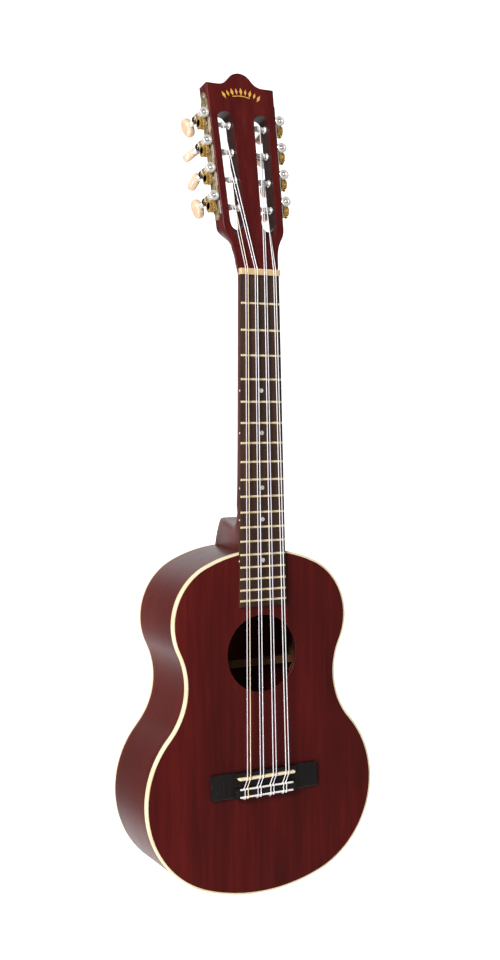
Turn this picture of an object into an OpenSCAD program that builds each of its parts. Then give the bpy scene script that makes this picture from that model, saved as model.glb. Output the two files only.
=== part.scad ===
// Eight-string tenor ukulele: four double courses, slotted head, eight geared machines.
// +X is the treble side, +Y runs from the strings into the body, +Z points up the neck to the head.
// The origin is in the neck's throat, where a hanger's two prongs carry the shoulders of the head.

/* [Scale and neck] */
// Scale length, from the nut to the saddle
scale_len = 432; // [425:1:440]
// Number of frets
fret_count = 18; // [16:1:18]
// Half of the fingerboard's width at the nut
board_half_nut = 18.6; // [18.2:0.1:19.5]
// Half of the fingerboard's width at its lower end
board_half_end = 22.8; // [22:0.1:24]
// Thickness of the fingerboard
board_t = 3; // [2.8:0.1:3.6]
// Height of a fret's crown above the fingerboard
fret_h = 0.8; // [0.6:0.1:1]
// Depth of the neck behind the fingerboard
neck_depth = 13.5; // [12:0.5:15]

/* [Body] */
// Half of the width across the upper bout
upper_half = 84.6; // [83:0.1:86]
// Half of the width at the waist
waist_half = 72.8; // [71:0.1:74]
// Half of the width across the lower bout
lower_half = 110.7; // [109:0.1:112]
// Length of the body
body_len = 300.7; // [298:0.1:304]
// Depth of the body, from the face of the top to the face of the back
body_depth = 74; // [70:1:80]
// Radius of the sound hole
hole_r = 33.5; // [31:0.5:35]
// Thickness of the soundboard and of the back
plate_t = 2.2; // [2:0.1:2.6]
// Thickness of the sides and width of the bindings
side_t = 1.8; // [1.6:0.1:2.2]

/* [Head] */
// Angle that the head leans back from the neck
head_tilt = 10.6; // [9:0.1:12]
// Thickness of the head
head_t = 15; // [15:0.5:16]
// Half of the head's width at its top corners
head_half_top = 32.9; // [32.5:0.1:33.5]
// Half of the head's width at the lower end of its straight sides
head_half_low = 29.4; // [29:0.1:30]
// Width of a string slot
slot_w = 14.5; // [14:0.5:15]

/* [Machines] */
// Distance between neighbouring machines on one side
machine_pitch = 24.85; // [24.4:0.05:25]
// Teeth of a gear, which is also the number of key turns for one roller turn
gear_teeth = 14; // [14:1:14]
// Mean radius of a gear's teeth
gear_r = 5.4; // [5.3:0.05:5.45]
// Radius of a string roller
roller_r = 2.6; // [2.4:0.1:2.7]
// Running clearance of a shaft in its bore
run_gap = 0.08; // [0.05:0.01:0.1]

/* [Hidden] */
$fn = 48;
tiny = 0.01;
deep = 200;
rosewood = "#3a2620";
mahogany = "#6e2320";
cream = "#efe0bd";
spruce = "#b98a5a";
chrome = "#c9c6c2";
old_brass = "#9a8050";
gear_brass = "#c79a3c";
nylon = "#e3dcd6";
black_wood = "#1c1614";

// Planes and stations of the whole instrument
nut_z = -14;
nut_w = 5.2;
board_y = -12;
board_over = 5.5;
top_y = board_y + board_t;
back_y = top_y + body_depth;
function fret_z(n) = nut_z - scale_len * (1 - pow(2, -n / 12));
board_len = nut_z - fret_z(fret_count) + board_over;
function board_half(z) = board_half_nut + (board_half_end - board_half_nut) * (nut_z - z) / board_len;

// Body outline: five tangent arcs a side, from the neck down to the tail
body_top_z = fret_z(14) + 3.6;
body_low_z = body_top_z - body_len;
r_top = 124.9;
r_upper = 54.7;
r_waist = 64.2;
r_lower = 84;
top_c = [0, body_top_z - r_top];
upper_x = upper_half - r_upper;
upper_c = [upper_x, top_c.y + sqrt(pow(r_top - r_upper, 2) - pow(upper_x, 2))];
waist_x = waist_half + r_waist;
waist_c = [waist_x, upper_c.y - sqrt(pow(r_upper + r_waist, 2) - pow(waist_x - upper_x, 2))];
lower_x = lower_half - r_lower;
lower_c = [lower_x, waist_c.y - sqrt(pow(r_waist + r_lower, 2) - pow(waist_x - lower_x, 2))];
low_reach = body_low_z + r_lower;
bottom_c = [0, (pow(low_reach, 2) - pow(lower_c.y, 2) - pow(lower_x, 2)) / (2 * (low_reach - lower_c.y))];
r_bottom = bottom_c.y - body_low_z;
function bearing(a, b) = atan2(b.y - a.y, b.x - a.x);
function arc(c, r, a0, a1, n, first = 0) = [for (i = [first:n]) let (a = a0 + (a1 - a0) * i / n)
    c + r * [cos(a), sin(a)]];
a_shoulder = bearing(top_c, upper_c);
a_upper = bearing(upper_c, waist_c);
a_lower = bearing(waist_c, lower_c);
a_tail = bearing(bottom_c, lower_c);
function half_outline(inset) = concat(
    arc(top_c, r_top - inset, 90, a_shoulder, 8),
    arc(upper_c, r_upper - inset, a_shoulder, a_upper, 14, 1),
    arc(waist_c, r_waist + inset, a_upper + 180, a_lower + 360, 10, 1),
    arc(lower_c, r_lower - inset, a_lower + 180, a_tail, 16, 1),
    arc(bottom_c, r_bottom - inset, a_tail, -90, 6, 1));
function flip(points) = [for (i = [len(points) - 1:-1:0]) [-points[i].x, points[i].y]];
function inner(points) = [for (i = [1:len(points) - 2]) points[i]];
function outline(inset) = let (h = half_outline(inset)) concat(h, flip(inner(h)));

// Sound hole, blocks, linings and braces
hole_z = nut_z - 326.4;
bind_top_h = 4.5;
bind_back_h = 3;
lining_w = 5.5;
lining_h = 9;
block_half = 30;
neck_block_l = 26;
tail_block_l = 16;
inside_y = top_y + plate_t;
inside_back_y = back_y - plate_t;
top_bar_z = [hole_z + 46, hole_z - 46];
back_bar_z = [hole_z + 52, hole_z - 20, hole_z - 115];
bar_w = 7;
bar_h = 9;
fan_w = 6;
fan_h = 5;

// Bridge, saddle and tie block
bridge_top_z = nut_z - 426.9;
bridge_low_z = nut_z - 448.8;
bridge_half = 52;
bridge_block_half = 30;
bridge_wing_h = 3.2;
bridge_block_h = 6;
saddle_z = nut_z - scale_len;
saddle_half = 27.5;
saddle_t = 2.6;
saddle_h = 8.6;
tie_front_z = bridge_low_z + 8.2;
tie_hole_r = 0.7;
tie_hole_y = top_y - 3.2;
strip_half = 26;
strip_w = 1.5;
strip_h = 0.8;

// Strings: eight, in four courses
string_r = 0.4;
nut_course = 9;
nut_pair = 2.1;
saddle_course = 12.6;
saddle_pair = 3;
nut_string_y = board_y - 1.2 - string_r;
saddle_string_y = top_y - saddle_h - string_r - 0.05;
function string_x(s, course, pair) = (floor((s - 1) / 2) - 1.5) * course + ((s - 1) % 2 - 0.5) * pair;

// Head, in its own frame: x across, y into the head from its face, z along it from the nut
throat_half = 20.3;
throat_l = 8;
side_low_l = 39;
r_flare = 37.4;
r_shoulder = 20;
corner_l = 166.5;
crest_l = 178.3;
crest_reach = 22;
r_crest = (pow(crest_reach, 2) + pow(crest_l - corner_l, 2)) / (4 * (crest_l - corner_l));
a_flare = asin((side_low_l - throat_l) / (r_flare + r_shoulder));
a_crest = asin(crest_reach / (2 * r_crest));
function head_half_outline() = concat(
    [[throat_half, 0]],
    arc([throat_half + r_flare, throat_l], r_flare, 180, 180 - a_flare, 6),
    arc([head_half_low - r_shoulder, side_low_l], r_shoulder, -a_flare, 0, 6, 1),
    [[head_half_top, corner_l]],
    arc([crest_reach, corner_l + r_crest], r_crest, 270, 270 - a_crest, 6),
    arc([0, crest_l - r_crest], r_crest, 90 - a_crest, 90, 6, 1));
side_lean = atan2(head_half_top - head_half_low, corner_l - side_low_l);
wall_t = 7;
slot_low = -4.5;
slot_top = 102.5;
// Shallow ramp below each slot, which clears the string of the lowest roller
ramp_w = 9;
ramp_l = 26;
ramp_depth = 2;
ramp_slope = 10;

// Machines, in the frame of a side of the head: x outwards, y into the head, z along the side
first_machine = 17.6;
plate_th = 1.2;
plate_y0 = 1.5;
plate_y1 = 13.5;
plate_low = 5.5;
plate_top = 120.5;
machine_y = 7.5;
machine_x = 5;
tooth_h = 0.42;
thread_r = 1.9;
thread_e = 0.45;
mesh_gap = 0.5;
worm_up = gear_r + thread_r + mesh_gap;
worm_pitch = 360 / gear_teeth * gear_r * PI / 180;
thread_len = 8.2;
gear_t = 3.2;
rim_t = 2.4;
hub_r = 1.6;
barrel_r = 3.8;
barrel_bore = 2.6;
barrel_y0 = 0.6;
barrel_y1 = 14.4;
barrel_cap = 2.4;
journal_r = 1.25;
key_end_y = 29.3;
button_y = 35.5;
button_wide = 17.5;
button_deep = 13;
button_thick = 7.4;
button_turn = [15, -31, -54, 18, 35, -60, 12, 48];
ferrule_r = 2.4;
ferrule_y = 23.4;
screw_r = 0.9;
screw_head_r = 1.6;
web_reach = 3.8;
function step_of(n) = n <= 4 ? n - 1 : 8 - n;
function side_of(n) = n <= 4 ? -1 : 1;
function machine_z(n) = first_machine + machine_pitch * step_of(n);

// A flat piece standing in the XZ plane, from y0 back to y0 + t
module slab(y0, t) {
    translate([0, y0 + t, 0]) rotate([90, 0, 0]) linear_extrude(height = t) children();
}

// A cylinder along Y, from y0 to y1
module along_y(x, z, r, y0, y1) {
    translate([x, y0, z]) rotate([-90, 0, 0]) cylinder(h = y1 - y0, r = r);
}

// A cylinder along X, from x0 to x1
module along_x(y, z, r, x0, x1) {
    translate([x0, y, z]) rotate([0, 90, 0]) cylinder(h = x1 - x0, r = r);
}

// A box between two corners
module block(low, high) {
    translate(low) cube(high - low);
}

module at_head() {
    translate([0, top_y, nut_z + nut_w]) rotate([-head_tilt, 0, 0]) children();
}

// The frame of one side of the head: side is -1 for the bass side and 1 for the treble side
module at_side(side) {
    at_head() mirror([side < 0 ? 1 : 0, 0, 0])
        translate([head_half_low, 0, side_low_l]) rotate([0, side_lean, 0]) children();
}

module body_space(inset) {
    slab(top_y - deep, body_depth + 2 * deep) polygon(outline(inset));
}

module soundboard() {
    color(mahogany) difference() {
        slab(top_y, plate_t) polygon(outline(side_t));
        along_y(0, hole_z, hole_r, top_y - 1, top_y + plate_t + 1);
    }
}

module back() {
    color(mahogany) slab(back_y - plate_t, plate_t) polygon(outline(side_t));
}

// One bent side, between the two bindings
module side_plate() {
    slab(top_y + bind_top_h, body_depth - bind_top_h - bind_back_h)
        polygon(concat(half_outline(0), [for (i = [len(half_outline(0)) - 1:-1:0]) half_outline(side_t)[i]]));
}

module side_treble() {
    color(mahogany) side_plate();
}

module side_bass() {
    color(mahogany) mirror([1, 0, 0]) side_plate();
}

module binding(y0, h) {
    color(cream) slab(y0, h) difference() {
        polygon(outline(0));
        polygon(outline(side_t));
    }
}

module binding_top() {
    binding(top_y, bind_top_h);
}

module binding_back() {
    binding(back_y - bind_back_h, bind_back_h);
}

module neck_block() {
    color(spruce) intersection() {
        body_space(side_t);
        block([-block_half, inside_y, body_top_z - side_t - neck_block_l], [block_half, inside_back_y, 0]);
    }
}

module tail_block() {
    color(spruce) intersection() {
        body_space(side_t);
        block([-block_half, inside_y, body_low_z], [block_half, inside_back_y, body_low_z + side_t + tail_block_l]);
    }
}

// Kerfed linings glue the sides to both plates, and stop at the two blocks
module linings() {
    color(spruce) for (y = [inside_y, inside_back_y - lining_h])
        difference() {
            slab(y, lining_h) difference() {
                polygon(outline(side_t));
                polygon(outline(side_t + lining_w));
            }
            block([-block_half, -deep, body_top_z - side_t - neck_block_l], [block_half, deep, 0]);
            block([-block_half, -deep, body_low_z - 1], [block_half, deep, body_low_z + side_t + tail_block_l]);
        }
}

module top_braces() {
    color(spruce) intersection() {
        body_space(side_t + lining_w);
        union() {
            for (z = top_bar_z)
                block([-lower_half, inside_y, z - bar_w / 2], [lower_half, inside_y + bar_h, z + bar_w / 2]);
            for (x = [-38, 0, 38])
                block([x - fan_w / 2, inside_y, bridge_low_z - 60],
                    [x + fan_w / 2, inside_y + fan_h, bridge_low_z - 5]);
        }
    }
}

module back_braces() {
    color(spruce) intersection() {
        body_space(side_t + lining_w);
        union() for (z = back_bar_z)
            block([-lower_half, inside_back_y - bar_h, z - bar_w / 2], [lower_half, inside_back_y, z + bar_w / 2]);
    }
}

module bridge_plate() {
    color(spruce) block([-bridge_half - 4, inside_y, bridge_low_z - 3], [bridge_half + 4, inside_y + 2, bridge_top_z + 3]);
}

// Two flat wings, a block with the saddle's slot, and a tie block with a hole for each string
module bridge() {
    color(black_wood) difference() {
        union() {
            block([-bridge_half, top_y - bridge_wing_h, bridge_low_z], [bridge_half, top_y, bridge_top_z]);
            block([-bridge_block_half, top_y - bridge_block_h, bridge_low_z], [bridge_block_half, top_y, bridge_top_z]);
        }
        block([-saddle_half, top_y - deep, saddle_z - saddle_t / 2], [saddle_half, top_y - 2.5, saddle_z + saddle_t / 2]);
        block([-strip_half, top_y - deep, tie_front_z], [strip_half, top_y - 2, saddle_z - saddle_t / 2 - 1.6]);
        for (s = [1:8])
            translate([string_x(s, saddle_course, saddle_pair), tie_hole_y, bridge_low_z - 1])
                cylinder(h = tie_front_z - bridge_low_z + 2, r = tie_hole_r);
    }
}

module saddle() {
    color(cream) block([-saddle_half, top_y - saddle_h, saddle_z - saddle_t / 2],
        [saddle_half, top_y - 2.5, saddle_z + saddle_t / 2]);
}

// Two strips that guard the edges of the tie block
module tie_strips() {
    color(cream) for (z = [bridge_low_z, tie_front_z - strip_w])
        block([-strip_half, top_y - bridge_block_h - strip_h, z], [strip_half, top_y - bridge_block_h, z + strip_w]);
}

// Cross-section of the neck behind the fingerboard, as a flattened D
module neck_slice(half, depth, z) {
    translate([0, 0, z]) linear_extrude(height = tiny) polygon([for (i = [0:16]) let (a = 180 * i / 16)
        [half * cos(a), top_y + depth * pow(sin(a), 0.85)]]);
}

heel_z = body_top_z + 25;
heel_y = 50;
heel_half = 9.5;
heel_end_y = back_y - 1;
// The profile of the heel, seen from the side, as [y, z]
heel_profile = [[top_y, body_top_z - 6], [top_y, heel_z - 3], [10, heel_z - 3.4], [30, heel_z - 2.6],
    [40, heel_z - 1.4], [heel_y, heel_z], [heel_y + 6, heel_z - 5.5], [heel_y + 10.5, heel_z - 11.5],
    [heel_y + 13, heel_z - 17], [heel_end_y, heel_z - 23], [heel_end_y, body_top_z - 6]];

module heel() {
    intersection() {
        hull() {
            block([-board_half(body_top_z) + 0.4, top_y, body_top_z - 6],
                [board_half(body_top_z) - 0.4, top_y + 6, heel_z]);
            block([-heel_half, heel_end_y - 0.5, body_top_z - 6], [heel_half, heel_end_y, heel_z]);
        }
        translate([-deep / 2, 0, 0]) rotate([90, 0, 90]) linear_extrude(height = deep) polygon(heel_profile);
    }
}

module neck() {
    color(mahogany) difference() {
        union() {
            hull() {
                neck_slice(board_half_nut - 0.2, neck_depth, nut_z + nut_w + 6);
                neck_slice(board_half_nut - 0.2, neck_depth, nut_z);
                neck_slice(board_half(heel_z) - 0.3, neck_depth + 1.5, heel_z - 6);
                neck_slice(board_half(heel_z) - 0.3, neck_depth + 1.5, body_top_z - 4);
            }
            heel();
        }
        body_space(0);
        at_head() translate([-deep, -deep, 0]) cube(2 * deep);
    }
}

module roller_bore(n) {
    at_side(side_of(n))
        along_x(machine_y, machine_z(n), roller_r + run_gap, -wall_t - slot_w - web_reach - 0.2, 1);
}

// Long slot with round ends, through the head, in the frame of one side
module string_slot() {
    middle = -wall_t - slot_w / 2;
    slab(-1, head_t + 2) polygon(concat(
        arc([middle, slot_top - slot_w / 2], slot_w / 2, 0, 180, 16),
        arc([middle, slot_low + slot_w / 2], slot_w / 2, 180, 360, 16)));
    translate([middle - ramp_w / 2, ramp_depth, slot_low + 1]) rotate([-ramp_slope, 0, 0])
        translate([0, -ramp_w, -ramp_l]) cube([ramp_w, ramp_w, ramp_l]);
}

function screw_z() = concat([plate_low + 4, plate_top - 4], [for (i = [0:2]) first_machine + machine_pitch * i + 13.6]);

module headstock() {
    color(mahogany) difference() {
        at_head() slab(0, head_t) polygon(concat(head_half_outline(), flip(inner_top(head_half_outline()))));
        for (side = [-1, 1]) at_side(side) {
            string_slot();
            for (z = screw_z()) along_x(machine_y, z, screw_r, -5.2, 1);
        }
        for (n = [1:8]) roller_bore(n);
    }
}
function inner_top(points) = [for (i = [0:len(points) - 2]) points[i]];

// Distance from the nut's edge down to fret n, as marks along the fingerboard
marks = [5, 7, 10, 12, 15];
function mark_z(n) = (fret_z(n) + fret_z(n - 1)) / 2;
dot_r = 2;
dot_t = 0.6;
side_dot_r = 0.9;
side_dot_t = 0.8;
slot_depth = 1.6;

module dots(spare) {
    for (n = marks) {
        along_y(0, mark_z(n), dot_r, board_y - spare, board_y + dot_t);
        x = -board_half(mark_z(n));
        along_x(board_y + board_t / 2, mark_z(n), side_dot_r, x - spare, x + side_dot_t);
    }
}

module fingerboard() {
    color(rosewood) difference() {
        slab(board_y, board_t) polygon([[-board_half_nut, nut_z], [board_half_nut, nut_z],
            [board_half_end, nut_z - board_len], [-board_half_end, nut_z - board_len]]);
        for (n = [1:fret_count])
            block([-deep, board_y - 1, fret_z(n) - 0.3], [deep, board_y + slot_depth, fret_z(n) + 0.3]);
        dots(1);
    }
}

module position_dots() {
    color(cream) intersection() {
        dots(0);
        slab(board_y, board_t) polygon([[-board_half_nut, nut_z], [board_half_nut, nut_z],
            [board_half_end, nut_z - board_len], [-board_half_end, nut_z - board_len]]);
    }
}

// A fret: a round crown on the fingerboard and a tang in its slot
module fret(n) {
    reach = board_half(fret_z(n)) - 0.3;
    crown_r = 1.1;
    intersection() {
        along_x(board_y - fret_h + crown_r, fret_z(n), crown_r, -reach, reach);
        block([-reach, board_y - 2, fret_z(n) - 2], [reach, board_y, fret_z(n) + 2]);
    }
    block([-reach, board_y - 0.1, fret_z(n) - 0.25], [reach, board_y + slot_depth - 0.1, fret_z(n) + 0.25]);
}

module frets() {
    color("#b9a377") for (n = [1:fret_count]) fret(n);
}

module nut() {
    color(cream) difference() {
        block([-board_half_nut - 0.6, board_y - 2, nut_z], [board_half_nut + 0.6, top_y, nut_z + nut_w]);
        for (s = [1:8])
            translate([string_x(s, nut_course, nut_pair), nut_string_y, nut_z - 1])
                cylinder(h = nut_w + 2, r = string_r + 0.1);
        for (s = [1:8]) {
            x = string_x(s, nut_course, nut_pair);
            block([x - string_r - 0.1, board_y - 3, nut_z - 1], [x + string_r + 0.1, nut_string_y, nut_z + nut_w + 1]);
        }
    }
}

// Long brass plate with round-lobed ends, four barrels for the worms and a bore for each roller
module tuner_plate() {
    mid = (plate_y0 + plate_y1) / 2;
    difference() {
        union() {
            block([0, plate_y0, plate_low + 10], [plate_th, plate_y1, plate_top - 10]);
            for (end = [[plate_low, 1], [plate_top, -1]]) {
                along_x(mid, end[0] + end[1] * 4, 4, 0, plate_th);
                for (y = [-2.6, 2.6]) along_x(mid + y, end[0] + end[1] * 9, 3.4, 0, plate_th);
            }
            for (i = [0:3]) barrel(first_machine + machine_pitch * i + worm_up);
        }
        for (i = [0:3]) {
            z = first_machine + machine_pitch * i;
            along_x(machine_y, z, roller_r + run_gap, -1, plate_th + 1);
            along_y(machine_x, z + worm_up, journal_r + run_gap, barrel_y0 - 1, barrel_y1 + 1);
            along_y(machine_x, z + worm_up, barrel_bore, barrel_y0 + barrel_cap, barrel_y1 - barrel_cap);
            block([plate_th, barrel_y0 + barrel_cap, z], [machine_x + barrel_r + 1, barrel_y1 - barrel_cap,
                z + worm_up - 1.3]);
        }
        for (z = screw_z()) along_x(machine_y, z, screw_r, -1, plate_th + 1);
    }
}

module barrel(z) {
    along_y(machine_x, z, barrel_r, barrel_y0, barrel_y1);
    block([0.2, barrel_y0 + 0.9, z - 2.4], [machine_x, barrel_y1 - 0.9, z + 2.4]);
}

module tuner_plate_bass() {
    color(old_brass) at_side(-1) tuner_plate();
}

module tuner_plate_treble() {
    color(old_brass) at_side(1) tuner_plate();
}

module plate_screws() {
    color(old_brass) for (side = [-1, 1]) at_side(side)
        for (z = screw_z()) {
            along_x(machine_y, z, screw_r, -5, plate_th);
            along_x(machine_y, z, screw_head_r, plate_th, plate_th + 0.8);
        }
}

// The key's shaft: front journal, worm thread, rear journal, and a bead before the button
module worm_shaft(n) {
    color(chrome) at_side(side_of(n)) translate([machine_x, 0, machine_z(n) + worm_up]) {
        along_y(0, 0, journal_r, barrel_y0 - 0.3, key_end_y);
        translate([0, machine_y - thread_len / 2, 0]) rotate([-90, 0, 0])
            linear_extrude(height = thread_len, twist = -360 * thread_len / worm_pitch,
                slices = round(6 * thread_len / worm_pitch), $fn = 8)
            rotate(-90 - 180 * thread_len / worm_pitch) translate([thread_e, 0]) circle(r = thread_r, $fn = 8);
        translate([0, 18.3, 0]) rotate([-90, 0, 0]) rotate_extrude()
            polygon(concat([[0, -2.6]], arc([0, 0], 3, -60, 60, 10), [[0, 2.6]]));
        along_y(0, 0, ferrule_r, ferrule_y, key_end_y);
    }
}

module button(n) {
    color(cream) at_side(side_of(n)) translate([machine_x, button_y, machine_z(n) + worm_up])
        rotate([0, button_turn[n - 1], 0]) difference() {
            translate([-button_thick / 2, 0, 0]) rotate([90, 0, 90]) linear_extrude(height = button_thick)
                polygon([for (i = [0:31]) let (a = 360 * i / 32)
                    [button_deep / 2 * cos(a), button_wide / 2 * sin(a)]]);
            along_y(0, 0, ferrule_r, -button_deep, key_end_y - button_y);
        }
}

module gear(n) {
    color(gear_brass) at_side(side_of(n)) translate([machine_x, machine_y, machine_z(n)])
        difference() {
            union() {
                translate([-rim_t / 2 - 0.4, 0, 0]) rotate([0, 90, 0]) linear_extrude(height = rim_t)
                    polygon([for (i = [0:gear_teeth * 8 - 1]) let (a = 360 * i / (gear_teeth * 8))
                        (gear_r + tooth_h * cos(gear_teeth * a)) * [-cos(a), sin(a)]]);
                along_x(0, 0, gear_r - tooth_h - 0.5, -rim_t / 2 - 0.4, -rim_t / 2 - 0.4 + gear_t);
            }
            along_x(0, 0, hub_r, -deep, deep);
        }
}

module roller(n) {
    shoulder = machine_x - rim_t / 2 - 0.4;
    cap_x = shoulder + gear_t;
    color(chrome) at_side(side_of(n)) union() {
        along_x(machine_y, machine_z(n), roller_r, -wall_t - slot_w - web_reach, shoulder);
        along_x(machine_y, machine_z(n), hub_r, shoulder, cap_x);
        along_x(machine_y, machine_z(n), 2.5, cap_x, cap_x + 0.9);
    }
}

// A straight run of string between two points
module run(a, b) {
    d = b - a;
    translate(a) rotate([0, acos(d.z / norm(d)), atan2(d.y, d.x)])
        cylinder(h = norm(d), r = string_r, $fn = 8);
}

// A point given in the frame of the head, in the frame of the whole instrument
function head_point(x, y, l) = [x, top_y + y * cos(head_tilt) + l * sin(head_tilt),
    nut_z + nut_w - y * sin(head_tilt) + l * cos(head_tilt)];
roller_reach = 15;
// Where string s arrives at its roller, just in front of the roller's face
function string_end(s) = let (l = side_low_l + machine_z(s) * cos(side_lean))
    head_point(side_of(s) * (roller_reach + 0.5 * (step_of(s) == 0 ? 1 : 0)),
        machine_y - roller_r - string_r - 0.25, l - 0.6);

module string(s) {
    nut_x = string_x(s, nut_course, nut_pair);
    end_x = string_x(s, saddle_course, saddle_pair);
    at_nut_top = [nut_x, nut_string_y, nut_z + nut_w];
    at_nut = [nut_x, nut_string_y, nut_z];
    at_saddle = [end_x, saddle_string_y, saddle_z - saddle_t / 2 - 0.4];
    at_tie = [end_x, tie_hole_y, tie_front_z + 1];
    at_tail = [end_x, tie_hole_y, bridge_low_z - 1.2];
    run(at_nut_top, string_end(s));
    run(at_nut, at_nut_top);
    run(at_saddle, at_nut);
    run(at_tie, at_saddle);
    run(at_tail, at_tie);
}

module course(c) {
    color(nylon) for (s = [2 * c - 1, 2 * c]) string(s);
}

soundboard();
back();
side_bass();
side_treble();
binding_top();
binding_back();
neck_block();
tail_block();
linings();
top_braces();
back_braces();
bridge_plate();
bridge();
saddle();
tie_strips();
neck();
headstock();
fingerboard();
frets();
position_dots();
nut();
tuner_plate_bass();
tuner_plate_treble();
plate_screws();
for (c = [1:4]) course(c);
for (n = [1:8]) {
    worm_shaft(n);
    button(n);
    gear(n);
    roller(n);
}
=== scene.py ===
# %% [markdown]
# # A tenor ukulele with eight strings
#
# The instrument has four double courses, a slotted head with eight geared tuning machines, and a
# mahogany body with a cream edge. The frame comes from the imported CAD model, which knows where each
# part is and how it turns. This lesson makes the visible pieces and finishes on top of that frame.
# Lengths are written in millimetres, as a luthier would, and become metres when a piece is closed.

# %% Load the frame
import bmesh
import bpy
from math import asin, atan2, cos, degrees, pi, radians, sin, sqrt
from mathutils import Matrix, Vector


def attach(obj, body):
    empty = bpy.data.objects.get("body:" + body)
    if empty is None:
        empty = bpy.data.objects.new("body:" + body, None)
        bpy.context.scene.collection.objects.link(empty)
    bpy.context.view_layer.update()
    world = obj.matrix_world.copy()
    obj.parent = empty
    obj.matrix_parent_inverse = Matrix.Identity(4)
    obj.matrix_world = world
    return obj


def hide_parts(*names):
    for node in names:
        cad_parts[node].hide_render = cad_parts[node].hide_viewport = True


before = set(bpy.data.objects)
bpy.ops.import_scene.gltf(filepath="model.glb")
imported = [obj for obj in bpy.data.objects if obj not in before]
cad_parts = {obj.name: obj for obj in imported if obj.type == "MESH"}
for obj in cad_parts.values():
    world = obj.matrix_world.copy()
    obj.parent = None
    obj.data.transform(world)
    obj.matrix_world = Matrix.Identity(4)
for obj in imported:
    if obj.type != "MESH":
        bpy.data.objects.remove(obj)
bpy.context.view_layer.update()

# %% [markdown]
# ## The camera
#
# The instrument hangs in the air and leans away to the right, seen from its bass side with a short
# telephoto lens. Blender's camera looks along its own -Z, so its three axes are written as the
# columns of a matrix. That is more exact than a rotation typed in by hand.

# %% Camera
camera = bpy.data.objects.new("camera", bpy.data.cameras.new("camera"))
bpy.context.collection.objects.link(camera)
yaw, pitch, roll = radians(27.4994), radians(2.1078), radians(-0.6074)
ahead = Vector((sin(yaw) * cos(pitch), cos(yaw) * cos(pitch), -sin(pitch)))
across = Vector((cos(yaw), -sin(yaw), 0))
upward = across.cross(ahead)
camera_x = across * cos(roll) + upward * sin(roll)
camera_y = upward * cos(roll) - across * sin(roll)
camera.matrix_world = Matrix.Translation((-0.50597, -0.96114, -0.14999)) @ Matrix(
    (camera_x, camera_y, -ahead)).transposed().to_4x4()
camera.data.lens = 46.81
camera.data.sensor_width = 36
bpy.context.scene.camera = camera
print("camera looks along", [round(value, 3) for value in ahead])

# %% [markdown]
# ## The studio
#
# A floor that curves up into a wall has no horizon, and it is far below, so no hard shadow falls on
# it. Satin wood turns pale and milky when it mirrors a bright room. So the room is bright only where
# the camera looks into it and dim for everything else, and two soft boxes on the left do the lighting.

# %% Floor and wall in one sweep
def paint(name):
    """Make an empty material and give back its node tree."""
    material = bpy.data.materials.new(name)
    material.use_nodes = True
    material.node_tree.nodes.clear()
    return material

sweep_bm = bmesh.new()
pen = sweep_bm.verts.new((-0.9, -0.4, -1.6))
line = bmesh.ops.extrude_vert_indiv(sweep_bm, verts=[pen])
line["verts"][0].co = (-0.9, 2.5, -1.6)
curve = bmesh.ops.spin(sweep_bm, geom=[line["verts"][0]], cent=(0, 2.5, 0.9), axis=(1, 0, 0),
                       angle=radians(90),
                       steps=16)
wall = bmesh.ops.extrude_vert_indiv(sweep_bm, verts=[curve["geom_last"][0]])
wall["verts"][0].co.z = 6
rail = bmesh.ops.extrude_edge_only(sweep_bm, edges=sweep_bm.edges[:])
bmesh.ops.translate(sweep_bm, verts=[g for g in rail["geom"] if isinstance(g, bmesh.types.BMVert)],
                    vec=(9, 0, 0))
bmesh.ops.recalc_face_normals(sweep_bm, faces=sweep_bm.faces)
for face in sweep_bm.faces:
    face.smooth = True
sweep_mesh = bpy.data.meshes.new("studio_sweep")
sweep_bm.to_mesh(sweep_mesh)
sweep_bm.free()
sweep = bpy.data.objects.new("studio_sweep", sweep_mesh)
bpy.context.collection.objects.link(sweep)
paper = paint("white_paper")
nodes = paper.node_tree.nodes
paper_shader = nodes.new("ShaderNodeBsdfPrincipled")
paper_shader.inputs["Base Color"].default_value = (0.93, 0.93, 0.93, 1)
paper_shader.inputs["Roughness"].default_value = 0.9
paper_shader.inputs["Emission Color"].default_value = (1, 1, 1, 1)
paper_shader.inputs["Emission Strength"].default_value = 0.85
paper.node_tree.links.new(paper_shader.outputs[0], nodes.new("ShaderNodeOutputMaterial").inputs[0])
sweep_mesh.materials.append(paper)
print("sweep faces:", len(sweep_mesh.polygons))

# %% Lights
world = bpy.data.worlds.new("white_tent")
world.use_nodes = True
tent = world.node_tree.nodes["Background"]
tent.inputs["Color"].default_value = (1, 1, 1, 1)
seen = world.node_tree.nodes.new("ShaderNodeLightPath")
level = world.node_tree.nodes.new("ShaderNodeMapRange")
level.inputs["To Min"].default_value, level.inputs["To Max"].default_value = 0.2, 1.0
world.node_tree.links.new(seen.outputs["Is Camera Ray"], level.inputs["Value"])
world.node_tree.links.new(level.outputs[0], tent.inputs["Strength"])
bpy.context.scene.world = world
bpy.context.scene.view_settings.view_transform = "Standard"

def soft_box(name, place, aim, size, watts):
    """Hang a square lamp that faces a point."""
    lamp = bpy.data.lights.new(name, "AREA")
    lamp.size, lamp.energy = size, watts
    lamp_object = bpy.data.objects.new(name, lamp)
    lamp_object.location = place
    lamp_object.rotation_euler = (Vector(aim) - Vector(place)).to_track_quat("-Z", "Y").to_euler()
    bpy.context.collection.objects.link(lamp_object)

soft_box("key_light", (-1.9, -1.5, 1.0), (0, 0, -0.25), 0.7, 78)
soft_box("low_light", (-1.8, -1.1, -1.0), (0, 0, -0.45), 0.6, 26)
print("lamps:", len(bpy.data.lights))

# %% [markdown]
# ## Shader arithmetic
#
# A pattern such as wood grain is a sum of noises. Written with nodes alone it is a long list of links,
# so a small class wraps a socket: an expression such as 1 - pores * 0.4 adds its Math nodes itself.

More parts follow.
